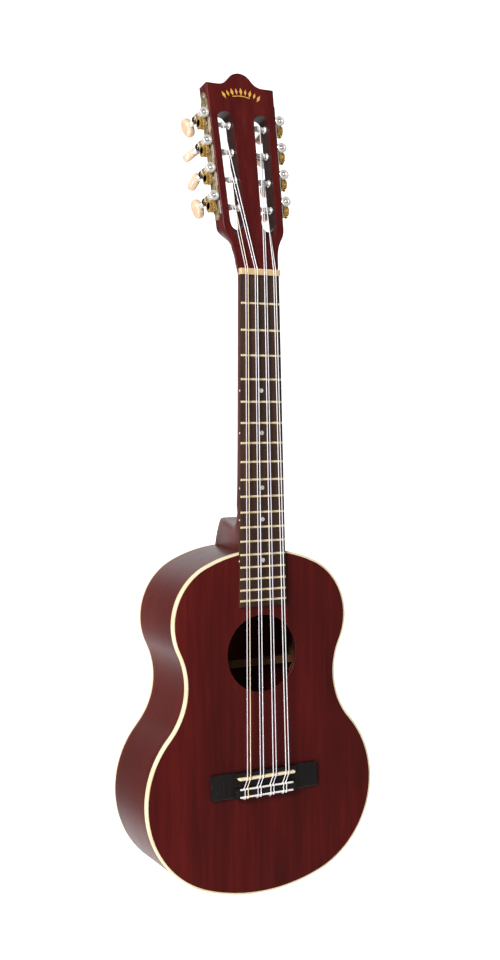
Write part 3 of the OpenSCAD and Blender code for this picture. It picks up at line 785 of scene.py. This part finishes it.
for sign in (1, -1):
    rings = [slot_ring(head_bm, sign, 0.0, 0.5, 12.0, 0.55),
             slot_ring(head_bm, sign, 0.15, 0.14, 10.6, 0.56),
             slot_ring(head_bm, sign, 0.5, 0, 8.5, 0.58), slot_ring(head_bm, sign, 2.0, 0, 0, 0.8),
             slot_ring(head_bm, sign, 3.0, 0, 0), slot_ring(head_bm, sign, 14.5, 0, 0),
             slot_ring(head_bm, sign, 14.85, 0.14, 0), slot_ring(head_bm, sign, 15.0, 0.5, 0)]
    # Painted shade on the slot walls: full deep inside the slot, half at the eased rings, none at the
    # faces.
    for ring, dark in zip(rings, (0, 0, 0.5, 1, 1, 1, 0.5, 0)):
        for edge in ring:
            for point in edge.verts:
                point[shade] = dark
    skin(head_bm, *rings)
bmesh.ops.remove_doubles(head_bm, verts=head_bm.verts, dist=0.002)

# %% [markdown]
# ## Throat of the head
#
# Between the slots and the nut the square slab turns into the rounded neck. Planes cut the slab's low
# end into layers, and each layer is drawn in by the rule of an ellipse: not at all at the face, most
# at the back. The share of the ellipse grows smoothly on the way down.

# %% Round the slab's low end
ROUND_HIGH, ROUND_LOW, ROUND_SHARE = 40.0, 20.0, 0.92
for y in (2.5, 5, 7.5, 10, 12.5):
    low_faces = [f for f in head_bm.faces if f.calc_center_median().z < ROUND_HIGH + 1]
    cut = set(low_faces)
    for face in low_faces:
        cut.update(face.edges)
        cut.update(face.verts)
    bmesh.ops.bisect_plane(head_bm, geom=list(cut), plane_co=(0, y, 0), plane_no=(0, 1, 0), dist=0.001)
for point in head_bm.verts:
    if point.co.z < ROUND_HIGH:
        share = min(1.0, (ROUND_HIGH - point.co.z) / (ROUND_HIGH - ROUND_LOW))
        share = ROUND_SHARE * share * share * (3 - 2 * share)
        point.co.x *= sqrt(1 - share * min(1.0, max(0.0, point.co.y / HEAD_THICK)) ** 2)
close_piece(head_bm, "head_board", neck_wood, stands_for=("headstock",),
            place=head_place)

# %% [markdown]
# ## Gold mark on the head
#
# Under the crown the head carries a small gold inlay. Here it is a plain fan of lozenges over a thin
# bar, which stands for no maker. Each lozenge is a four-sided circle, stretched and turned about a
# point further down the head, and the metal is a leaf no thicker than paper.

# %% Gold fan
gold_bm = bmesh.new()
fan_centre = Vector((0, 0, 127.5))
for step in range(-4, 5):
    size = 1.0 if step % 2 else 1.25
    lozenge = bmesh.ops.create_circle(gold_bm, segments=4, radius=1.0, cap_ends=True)["verts"]
    bmesh.ops.scale(gold_bm, vec=(1.15 * size, 3.0 * size, 1), verts=lozenge)
    bmesh.ops.transform(gold_bm, verts=lozenge, matrix=shift(fan_centre)
                        @ turn(7.6 * step, "Y") @ shift((0, -0.02, 33.5))
                        @ turn(90, "X"))
bar = trace(gold_bm, (fan_centre.x - 29 * sin(radians(17)), -0.02,
                      fan_centre.z + 29 * cos(radians(17))),
            (tuple(fan_centre), 34, 16))
rail = bmesh.ops.extrude_edge_only(gold_bm, edges=bar)
bmesh.ops.translate(gold_bm, verts=fresh(rail), vec=(0, 0, 0.75))
bmesh.ops.solidify(gold_bm, geom=gold_bm.faces[:], thickness=0.05)
close_piece(gold_bm, "head_gold_mark", gold_leaf, place=head_place)

# %% [markdown]
# ## Fingerboard, frets and dots
#
# The fingerboard is a tapering strip of rosewood. A fret is a half-round wire with its ends filed back
# at a slant, so that they don't catch the hand. A rod cut by a plane gives the crown. The dots are
# pearl discs on the face, and smaller ones on the edge that the player sees.

# %% Fingerboard
board_bm = bmesh.new()
low = NUT - 284.8
corners = [board_bm.verts.new(point) for point in ((-18.6, BOARD, NUT), (18.6, BOARD, NUT),
                                                   (22.8, BOARD, low),
                                                   (-22.8, BOARD, low))]
board_bm.faces.new(corners)
thicken(board_bm, (0, TOP - BOARD, 0))
soften(board_bm, 0.35, 2)
close_piece(board_bm, "fingerboard_strip", rosewood, stands_for=("fingerboard",))

# %% Frets
fret_bm = bmesh.new()
for number in range(1, 19):
    half = board_half(fret_z(number)) - 0.25
    rod = bmesh.ops.create_cone(fret_bm, cap_ends=True, segments=20, radius1=0.95, radius2=0.95,
                                depth=2 * half,
                                matrix=shift((0, BOARD + 0.2, fret_z(number)))
                                @ turn(90, "Y"))["verts"]
    parts = dict.fromkeys(rod)          # a dict keeps its order, so each run is the same
    for point in rod:
        parts.update(dict.fromkeys(point.link_edges))
        parts.update(dict.fromkeys(point.link_faces))
    cut = bmesh.ops.bisect_plane(fret_bm, geom=list(parts), plane_co=(0, BOARD - 0.01, 0),
                                 plane_no=(0, 1, 0),
                                 clear_outer=True)
    open_edges = [e for e in cut["geom_cut"] if isinstance(e, bmesh.types.BMEdge)]
    bmesh.ops.holes_fill(fret_bm, edges=open_edges, sides=0)
for point in fret_bm.verts:
    point.co.x -= (1 if point.co.x > 0 else -1) * max(0, BOARD - point.co.y) * 0.7
close_piece(fret_bm, "fret_wires", fret_metal, stands_for=("frets",), crease=50)

# %% Dots
dot_bm = bmesh.new()
for number in (5, 7, 10, 12, 15):
    z = (fret_z(number) + fret_z(number - 1)) / 2
    bmesh.ops.create_cone(dot_bm, cap_ends=True, segments=32, radius1=2.0, radius2=1.9, depth=0.4,
                          matrix=shift((0, BOARD + 0.16, z)) @ turn(90, "X"))
    bmesh.ops.create_cone(dot_bm, cap_ends=True, segments=24, radius1=0.9, radius2=0.9, depth=0.4,
                          matrix=shift((-board_half(z) + 0.17, BOARD + 1.5, z))
                          @ turn(90, "Y"))
close_piece(dot_bm, "pearl_dots", dot_pearl, stands_for=("position_dots",))

# %% [markdown]
# ## Nut, saddle and bridge
#
# The nut and the saddle are filed from bone. The nut's front view holds everything: a slot with a round
# bottom for each string. That outline is traced, filled and pushed back. The saddle is a slip with a
# round top and round ends. The bridge has two flat wings, a raised middle with the saddle's groove, and
# behind a trough the tie block, where each string goes through a hole and is knotted.

# %% Nut
STRING_R = 0.4
AT_NUT, AT_SADDLE = (9, 2.1), (12.6, 3.0)
NOTCH_Y = BOARD - 1.9

def string_x(string, course, pair):
    """Place of a string across the neck, from the spacing of the courses and within a pair."""
    return ((string - 1) // 2 - 1.5) * course + ((string - 1) % 2 - 0.5) * pair

nut_bm = bmesh.new()
moves = [(-19.2, NUT, NOTCH_Y + 0.9), ((-18.3, NUT, NOTCH_Y + 0.9), 90, 5)]
for string in range(1, 9):
    x, r = string_x(string, *AT_NUT), STRING_R + 0.06
    moves += [(x - r, NUT, NOTCH_Y), (x - r, NUT, NOTCH_Y + 0.35),
              ((x, NUT, NOTCH_Y + 0.35), -180, 6), (x + r, NUT, NOTCH_Y)]
moves += [(18.3, NUT, NOTCH_Y), ((18.3, NUT, NOTCH_Y + 0.9), 90, 5), (19.2, NUT, TOP + 0.02)]

def front_view(bm, start, moves, z):
    """Trace in the XY plane: moves are given as (x, z, y), and turns go round the neck's axis."""
    swapped = []
    for move in moves:
        if len(move) == 3 and not isinstance(move[0], (tuple, list)):
            swapped.append((move[0], move[2], z))
        else:
            centre, angle, steps = move
            swapped.append(((centre[0], centre[2], z), angle, steps))
    return trace(bm, start, *swapped, axis=(0, 0, 1))

edges = front_view(nut_bm, (-19.2, TOP + 0.02, NUT), moves, NUT)
ends = [point for edge in edges for point in edge.verts if len(point.link_edges) == 1]
edges.append(nut_bm.edges.new(ends))
bmesh.ops.edgeloop_fill(nut_bm, edges=edges)
thicken(nut_bm, (0, 0, NUT_WIDE))
for point in nut_bm.verts:
    if point.co.z > NUT + 1 and point.co.y < BOARD:
        point.co.y += 0.45
close_piece(nut_bm, "bone_nut", bone, stands_for=("nut",), crease=30)

# %% Saddle and the two guard strips
SADDLE = NUT - SCALE_LENGTH

def slip(name, size, middle, rounding, material, node, segments=5):
    """A rounded slip, from a cube stretched to its size."""
    bm = bmesh.new()
    block_at(bm, size, middle)
    soften(bm, rounding, segments)
    return close_piece(bm, name, material, stands_for=node, crease=50)

slip("bone_saddle", (55, 11.0, 2.6), (0, TOP - 3.1, SADDLE), 1.15, pale_bone, ("saddle",))
BRIDGE_HIGH, BRIDGE_LOW, TIE_FRONT = NUT - 426.9, NUT - 448.8, NUT - 440.6
slip("guard_strip_low", (52, 1.5, 1.5), (0, TOP - 6.05, BRIDGE_LOW + 0.75), 0.4, strip_white,
     ("tie_strips",), 3)
slip("guard_strip_high", (52, 1.5, 1.5), (0, TOP - 6.05, TIE_FRONT - 0.75), 0.4, strip_white, (),
     3)

# %% Bridge
bridge_bm = bmesh.new()
def side_profile(bm, x, *points):
    """A filled outline across the bridge, as heights above the soundboard and places along it."""
    return bm.faces.new([bm.verts.new((x, TOP - height, z)) for height, z in points])

wing = side_profile(bridge_bm, -52, (0, BRIDGE_LOW), (2.7, BRIDGE_LOW), (3.2, BRIDGE_LOW + 2),
                    (3.2, BRIDGE_HIGH - 2),
                    (2.7, BRIDGE_HIGH), (0, BRIDGE_HIGH))
thicken(bridge_bm, (104, 0, 0), [wing])
soften(bridge_bm, 0.5, 2)
block_bm = bmesh.new()
groove = (SADDLE + 1.3, SADDLE - 1.3)
block = side_profile(block_bm, -30, (0, BRIDGE_LOW + 0.02), (6, BRIDGE_LOW + 0.02), (6, TIE_FRONT),
                     (2, TIE_FRONT),
                     (2, groove[1] - 1.6), (6, groove[1] - 1.6), (6, groove[1]), (1, groove[1]),
                     (1, groove[0]), (6, groove[0]),
                     (5.4, BRIDGE_HIGH - 0.6), (3.4, BRIDGE_HIGH - 0.02), (0, BRIDGE_HIGH - 0.02))
thicken(block_bm, (60, 0, 0), [block])
soften(block_bm, 0.3, 2, 40)
block_mesh = bpy.data.meshes.new("block")
block_bm.to_mesh(block_mesh)
block_bm.free()
bridge_bm.from_mesh(block_mesh)
bpy.data.meshes.remove(block_mesh)
close_piece(bridge_bm, "bridge_board", black_wood, stands_for=("bridge",))

# %% [markdown]
# ## Tuning machines
#
# Each side of the head carries a long brass plate with four machines. A key turns a worm, which runs in
# a barrel on the plate; the worm turns a small gear on the end of a roller, and the roller crosses the
# slot and winds the string. Fourteen turns of the key turn the roller once. Everything is drawn in the
# frame of one side, with x outwards, y into the head and z along it.

# %% Brass plates with four barrels
MACHINE_Y, MACHINE_X, FIRST, PITCH = 7.5, 5.0, 17.6, 24.85
WORM_UP = 7.8

MACHINES = [(sign, step) for sign in (-1, 1) for step in range(4)]

def number_of(sign, step):
    return step + 1 if sign < 0 else 8 - step

def square_ring(bm, y0, y1, inner, outer, ease, centre, angle=360, start=None, steps=32):
    """A ring with eased edges about the Y axis: one closed profile, spun."""
    x, z = centre
    points = [(outer - ease, y0), (outer, y0 + ease), (outer, y1 - ease), (outer - ease, y1),
              (inner + ease, y1),
              (inner, y1 - ease), (inner, y0 + ease), (inner + ease, y0)]
    face = bm.faces.new([bm.verts.new((x + radius, y, z)) for radius, y in points])
    if start is not None:
        bmesh.ops.rotate(bm, verts=face.verts[:], cent=(x, 0, z),
                         matrix=Matrix.Rotation(radians(start), 3, "Y"))
    if angle == 360:
        edges = face.edges[:]
        bmesh.ops.delete(bm, geom=[face], context="FACES_ONLY")
        bmesh.ops.spin(bm, geom=edges, cent=(x, 0, z), axis=(0, 1, 0), angle=2 * pi, steps=steps,
                       use_merge=True)
    else:
        bmesh.ops.spin(bm, geom=[face], cent=(x, 0, z), axis=(0, 1, 0), angle=radians(angle),
                       steps=steps)

def brass_plate(sign, node):
    bm = bmesh.new()
    middle, low, high = 7.5, 5.5, 120.5
    right, left = middle + 2.6, middle - 2.6
    trace(bm, (0.0, middle, high), ((0.0, middle, high - 4), -116, 12),
          ((0.0, right, high - 9), -73, 8),
          (0.0, middle + 6.0, low + 9), ((0.0, right, low + 9), -73, 8),
          ((0.0, middle, low + 4), -232, 24),
          ((0.0, left, low + 9), -73, 8), (0.0, middle - 6.0, high - 9),
          ((0.0, left, high - 9), -73, 8),
          ((0.0, middle, high - 4), -116, 12), axis=(1, 0, 0))
    bmesh.ops.remove_doubles(bm, verts=bm.verts, dist=0.05)
    face = bmesh.ops.edgeloop_fill(bm, edges=bm.edges[:])["faces"]
    thicken(bm, (1.2, 0, 0), face)
    soften(bm, 0.3, 2, 70)
    top = max((f for f in bm.faces if f.calc_center_median().x > 1.1), key=lambda f: f.calc_area())
    bmesh.ops.inset_region(bm, faces=[top], thickness=0.9, depth=0)
    bmesh.ops.inset_region(bm, faces=[top], thickness=0.25, depth=-0.22)
    for step in range(4):
        z = FIRST + PITCH * step + WORM_UP
        square_ring(bm, 0.6, 3.0, 1.4, 3.8, 0.45, (MACHINE_X, z))
        square_ring(bm, 12.0, 14.4, 1.4, 3.8, 0.45, (MACHINE_X, z))
        square_ring(bm, 2.8, 12.2, 2.7, 3.45, 0.1, (MACHINE_X, z), angle=236, start=28, steps=20)
        for y0, y1 in ((0.9, 2.8), (12.2, 14.1)):
            block_at(bm, (2.6, y1 - y0, 5.0), (1.8, (y0 + y1) / 2, z))
    return close_piece(bm, "machine_plate" + ("_bass" if sign < 0 else "_treble"), old_brass,
                       stands_for=(node,),
                       place=head_place @ side_place(sign))

brass_plate(-1, "tuner_plate_bass")
brass_plate(1, "tuner_plate_treble")

# %% Bright rings in front of the barrels, and thin nickel strips painted as the plate edge's highlight
for sign in (-1, 1):
    bm = bmesh.new()
    for step in range(4):
        centre = (MACHINE_X, FIRST + PITCH * step + WORM_UP)
        square_ring(bm, 0.1, 3.4, 1.9, 4.5, 0.5, centre)
        square_ring(bm, 3.6, 5.6, 3.5, 4.1, 0.2, centre)
        # A thin nickel strip on the plate's front edge, between two machines, is a painted highlight: it
        # stands for the light that edge catches.
        block_at(bm, (0.9, 0.3, 11.5), (0.7, 1.4, centre[1] - 10.2))
    close_piece(bm, "front_rings" + ("_bass" if sign < 0 else "_treble"), nickel,
                place=head_place @ side_place(sign))

# %% Plate screws
screw_bm = bmesh.new()
for sign in (-1, 1):
    for count, z in enumerate([9.5, 116.5] + [FIRST + PITCH * i + 13.6 for i in range(3)]):
        bm = bmesh.new()
        turned(bm, [(2.05, 0, 0)] + [(1.15 + 0.9 * cos(radians(a)), 1.6 * sin(radians(a)),
                                      0) for a in (25, 45, 65, 80, 90)]
               + [(0.6, 1.6, 0), (0.6, 0, 0)], (0, 0, 0), (1, 0, 0), steps=20)
        for offset in (0.22, -0.22):
            bmesh.ops.bisect_plane(bm, geom=bm.verts[:] + bm.edges[:] + bm.faces[:],
                                   plane_co=(0, 0, offset),
                                   plane_no=(0, 0, 1))
        strip = [f for f in bm.faces if abs(f.calc_center_median().z) < 0.2
                 and f.calc_center_median().x > 1.25]
        bmesh.ops.translate(bm, verts=fresh(bmesh.ops.extrude_face_region(bm, geom=strip)),
                            vec=(-0.4, 0, 0))
        bmesh.ops.delete(bm, geom=strip, context="FACES")
        bm.transform(head_place @ side_place(sign) @ shift((0, MACHINE_Y, z))
                     @ turn(37 * count + 20, "X"))
        bmesh.ops.recalc_face_normals(bm, faces=bm.faces)
        part = bpy.data.meshes.new("screw")
        bm.to_mesh(part)
        bm.free()
        screw_bm.from_mesh(part)
        bpy.data.meshes.remove(part)
close_piece(screw_bm, "slotted_screws", old_brass, stands_for=("plate_screws",))

# %% [markdown]
# ## Rollers and gears
#
# A roller is lathed: thick in its two bearings, and waisted between them, with a flare at each end of
# the slot. The string's turns are rings round its waist. The gear has fourteen teeth. It starts as a
# circle whose points are pulled in and out by turns, and its outer face is dished.

# %% Rollers with their turns of string
def roller(sign, step):
    n = number_of(sign, step)
    z = FIRST + PITCH * step
    place = head_place @ side_place(sign)
    bm = bmesh.new()
    profile = [(-25.3, 0), (-25.3, 2.2), (-24.9, 2.55), (-21.6, 2.55), (-21.2, 3.1), (-20.5, 3.1),
               (-19.6, 2.25), (-14.2, 2.0),
               (-8.9, 2.25), (-8.0, 3.1), (-7.3, 3.1), (-6.9, 2.55), (3.35, 2.55), (3.35, 1.6),
               (6.6, 1.6), (6.6, 2.4), (7.2, 2.4),
               (7.5, 1.9), (7.5, 0)]
    turned(bm, [(x, MACHINE_Y + radius, z) for x, radius in profile], (0, MACHINE_Y, z), (1, 0, 0),
           steps=28)
    close_piece(bm, f"roller_bar_{n}", nickel, f"winder_{n}", (f"roller_{n}",), place)
    bm = bmesh.new()
    x_end = -14.25 + (0.6 if step else 1.2)
    for lap in range(4):
        x = x_end - 1.7 * STRING_R * 2 * lap * (1 if step % 2 else -1) * 0.62
        ring = bmesh.ops.create_circle(bm, segments=8, radius=STRING_R,
                                       matrix=shift((x, MACHINE_Y + 2.35 + 0.1 * (lap % 2),
                                                     z)))["verts"]
        edges = list(dict.fromkeys(e for v in ring for e in v.link_edges))
        bmesh.ops.spin(bm, geom=edges, cent=(0, MACHINE_Y, z), axis=(1, 0, 0), angle=2 * pi,
                       steps=24, use_merge=True)
    close_piece(bm, f"string_turns_{n}", clear_nylon, f"winder_{n}", place=place)

for machine in MACHINES:
    roller(*machine)

# %% Gears
TEETH, GEAR_TIP, GEAR_ROOT = 14, 5.35, 4.65

def gear(sign, step):
    n = number_of(sign, step)
    z = FIRST + PITCH * step
    bm = bmesh.new()
    rim_points = bmesh.ops.create_circle(bm, segments=4 * TEETH, radius=1.0,
                                         matrix=turn(90, "Y"))["verts"]
    for point in rim_points:
        tooth = (degrees(atan2(point.co.y, point.co.z)) * TEETH / 360 + 0.125) % 1.0
        point.co = point.co.normalized() * (GEAR_TIP if tooth < 0.26 or tooth > 0.99 else GEAR_ROOT)
    face = bmesh.ops.edgeloop_fill(bm, edges=bm.edges[:])["faces"]
    thicken(bm, (2.4, 0, 0), face)
    outer = max((f for f in bm.faces if f.calc_center_median().x > 2.3), key=lambda f: f.calc_area())
    inner = max((f for f in bm.faces if f.calc_center_median().x < 0.1), key=lambda f: f.calc_area())
    bmesh.ops.inset_region(bm, faces=[inner], thickness=0.25, depth=0.0)
    bmesh.ops.inset_region(bm, faces=[outer], thickness=0.75, depth=0.0)
    bmesh.ops.inset_region(bm, faces=[outer], thickness=0.3, depth=-1.3)
    bmesh.ops.inset_region(bm, faces=[outer], thickness=1.3, depth=-0.1)
    bmesh.ops.inset_region(bm, faces=[outer], thickness=0.15, depth=1.5)
    soften(bm, 0.14, 1, 40)
    close_piece(bm, f"gear_wheel_{n}", gear_brass, f"winder_{n}", (f"gear_{n}",),
                head_place @ side_place(sign) @ shift((3.42, MACHINE_Y, z)), crease=30)

for machine in MACHINES:
    gear(*machine)

# %% [markdown]
# ## Keys
#
# A key is a steel shaft with a screw thread, a dark bead behind the plate, two thin collars and a
# ferrule that holds the button. The thread is one profile, swept along a screw line. The button is a
# flat oval with soft edges, and each one has stopped at its own angle, as tuned machines do.

# %% Shafts with their worms
BUTTON_TURN = (15, -31, -54, 18, 35, -60, 12, 48)

def shaft(sign, step):
    n = number_of(sign, step)
    centre = Vector((MACHINE_X, 0, FIRST + PITCH * step + WORM_UP))
    place = head_place @ side_place(sign) @ shift(centre)
    bm = bmesh.new()
    profile = [(0, 0.3), (0.9, 0.3), (1.22, 0.55), (1.22, 3.1), (1.45, 3.3), (1.45, 11.7),
               (1.22, 11.9), (1.22, 14.9), (2.0, 15.0),
               (2.15, 15.3), (2.0, 15.6), (1.3, 15.7), (1.3, 21.0), (1.75, 21.2), (2.05, 21.7),
               (1.75, 22.2), (1.3, 22.4),
               (1.35, 23.2), (2.0, 23.4), (2.4, 23.9), (2.4, 25.2), (2.1, 25.5), (2.4, 25.8),
               (2.4, 29.1), (2.1, 29.3), (0, 29.3)]
    turned(bm, [(radius, y, 0) for radius, y in profile], (0, 0, 0), (0, 1, 0), steps=24)
    pitch_len, turns, tip = 2.4235, 3.0, 2.41
    start_y = MACHINE_Y - pitch_len * turns / 2
    ridge = bm.faces.new([bm.verts.new(point) for point in ((0, start_y - 0.6, 1.3),
                                                            (0, start_y - 0.3, tip),
                                                            (0, start_y + 0.3, tip),
                                                            (0, start_y + 0.6, 1.3))])
    turn_by = radians(-180 * turns)
    bmesh.ops.rotate(bm, verts=ridge.verts[:], cent=(0, 0, 0), matrix=Matrix.Rotation(-turn_by, 3, "Y"))
    bmesh.ops.spin(bm, geom=[ridge], cent=(0, 0, 0), axis=(0, 1, 0),
                   dvec=(0, pitch_len * turns / 60, 0),
                   angle=2 * turn_by, steps=60)
    close_piece(bm, f"worm_key_{n}", nickel, f"key_{n}", (f"worm_shaft_{n}",), place)
    bm = bmesh.new()
    profile = ([(1.25, 15.72)] + [(3.75 * cos(radians(a)),
                                   18.4 + 2.85 * sin(radians(a))) for a in range(-68, 69, 17)]
               + [(1.25, 21.08)])
    turned(bm, [(radius, y, 0) for radius, y in profile], (0, 0, 0), (0, 1, 0), steps=28)
    close_piece(bm, f"dark_bead_{n}", bead_metal, f"key_{n}", place=place)

for machine in MACHINES:
    shaft(*machine)

# %% Buttons
BUTTON_Y, BUTTON_DEEP, BUTTON_WIDE, BUTTON_THICK = 35.5, 13, 17.5, 7.4

def button(sign, step):
    n = number_of(sign, step)
    bm = bmesh.new()
    oval = bmesh.ops.create_circle(bm, segments=40, radius=0.5, cap_ends=True,
                                   matrix=turn(90, "Y"))["verts"]
    bmesh.ops.scale(bm, vec=(1, BUTTON_DEEP, BUTTON_WIDE), verts=oval)
    thicken(bm, (BUTTON_THICK, 0, 0))
    bmesh.ops.translate(bm, verts=bm.verts, vec=(-BUTTON_THICK / 2, 0, 0))
    soften(bm, 2.9, 6)
    middle = (MACHINE_X, BUTTON_Y, FIRST + PITCH * step + WORM_UP)
    place = head_place @ side_place(sign) @ shift(middle) @ turn(BUTTON_TURN[n - 1], "Y")
    close_piece(bm, f"pearl_button_{n}", button_pearl, f"key_{n}", (f"button_{n}",),
                place)

for machine in MACHINES:
    button(*machine)

# %% [markdown]
# ## Strings
#
# A string is one long tube: from its roller, over the nut, straight to the saddle, down into the trough,
# through the tie block and up over it again. Rings of eight points stand across the route at each bend
# and are bridged. The strings don't hang free, so they need no slack.

# %% Route of a string
TIE_LEAN = 1.6

def tube(bm, points, radius, sides=8):
    """A tube through points, with a ring across the route at each of them."""
    rings = []
    up = Vector((1, 0, 0))
    for before, here, after in zip([points[0]] + points[:-1], points, points[1:] + [points[-1]]):
        ahead = (Vector(after) - Vector(before)).normalized()
        side_way = (up - ahead * up.dot(ahead)).normalized()
        stand = Matrix((side_way, ahead.cross(side_way), ahead)).transposed().to_4x4()
        made = bmesh.ops.create_circle(bm, segments=sides, radius=radius,
                                       matrix=shift(here) @ stand)["verts"]
        rings.append(list(dict.fromkeys(e for v in made for e in v.link_edges)))
    skin(bm, *rings)
    bmesh.ops.holes_fill(bm, edges=rings[0] + rings[-1], sides=0)

def string_route(string):
    sign = -1 if string <= 4 else 1
    step = string - 1 if string <= 4 else 8 - string
    nut_x, end_x = string_x(string, *AT_NUT), string_x(string, *AT_SADDLE)
    z_side = FIRST + PITCH * step
    roller_point = head_place @ side_place(sign) @ Vector((-14.25 + (0.6 if step else 1.2),
                                                           MACHINE_Y - 2.75, z_side))
    nut_y = BOARD - 1.2 - STRING_R
    saddle_y = TOP - 8.6 - STRING_R
    return [tuple(roller_point), (nut_x, nut_y + 0.35, NUT + NUT_WIDE), (nut_x, nut_y, NUT + 1.2),
            (nut_x, nut_y, NUT - 0.5),
            (end_x, saddle_y, SADDLE + 0.7), (end_x - 0.1, saddle_y, SADDLE - 0.7),
            (end_x - 0.4, saddle_y + 1.0, SADDLE - 2.0),
            (end_x - TIE_LEAN, TOP - 6.6, TIE_FRONT + 1.4),
            (end_x - TIE_LEAN - 0.1, TOP - 7.0, TIE_FRONT - 0.2),
            (end_x - TIE_LEAN + 0.2, TOP - 7.25, TIE_FRONT - 1.2),
            (end_x - TIE_LEAN + 0.3, TOP - 6.5, TIE_FRONT - 4.0),
            (end_x - TIE_LEAN + 0.3, TOP - 7.25, BRIDGE_LOW + 1.2),
            (end_x - TIE_LEAN + 0.2, TOP - 6.9, BRIDGE_LOW - 0.3),
            (end_x - TIE_LEAN + 0.1, TOP - 5.2, BRIDGE_LOW - 0.9),
            (end_x - TIE_LEAN, TOP - 3.2, BRIDGE_LOW - 0.7),
            (end_x - TIE_LEAN, TOP - 3.2, BRIDGE_LOW + 1.5)]

tints = {1: grey_nylon, 2: warm_nylon, 3: grey_nylon, 4: clear_nylon, 5: clear_nylon, 6: grey_nylon,
         7: clear_nylon, 8: clear_nylon}
for string in range(1, 9):
    bm = bmesh.new()
    tube(bm, string_route(string), STRING_R)
    end_x = string_x(string, *AT_SADDLE) - TIE_LEAN
    for x, y, z, size in ((end_x, TOP - 3.2, BRIDGE_LOW - 0.75, 0.8),
                          (end_x - 0.5, TOP - 6.7, TIE_FRONT + 0.6, 0.62)):
        bmesh.ops.create_uvsphere(bm, u_segments=12, v_segments=8, radius=size,
                                  matrix=shift((x, y, z)) @ Matrix.Diagonal((1.1, 0.8, 1, 1)))
    lean = 1 if string % 2 else -1
    tube(bm, [(end_x, TOP - 3.2, BRIDGE_LOW - 0.9), (end_x + lean * 0.6, TOP - 3.0, BRIDGE_LOW - 1.8),
              (end_x + lean * 1.5, TOP - 2.6, BRIDGE_LOW - 2.6)], 0.3, 6)
    close_piece(bm, f"string_{string}", tints[string], stands_for=(f"course_{(string + 1) // 2}",),
                crease=60)

# %% [markdown]
# ## The wood inside
#
# Blocks, linings and braces show through the sound hole, so their CAD pieces stay and get bare wood.

# %% Finishes of the kept CAD nodes
for node in ("neck_block", "tail_block", "linings", "top_braces", "back_braces", "bridge_plate"):
    for place_for_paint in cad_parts[node].material_slots:
        place_for_paint.material = inner_wood
print("bare wood on the kept pieces")
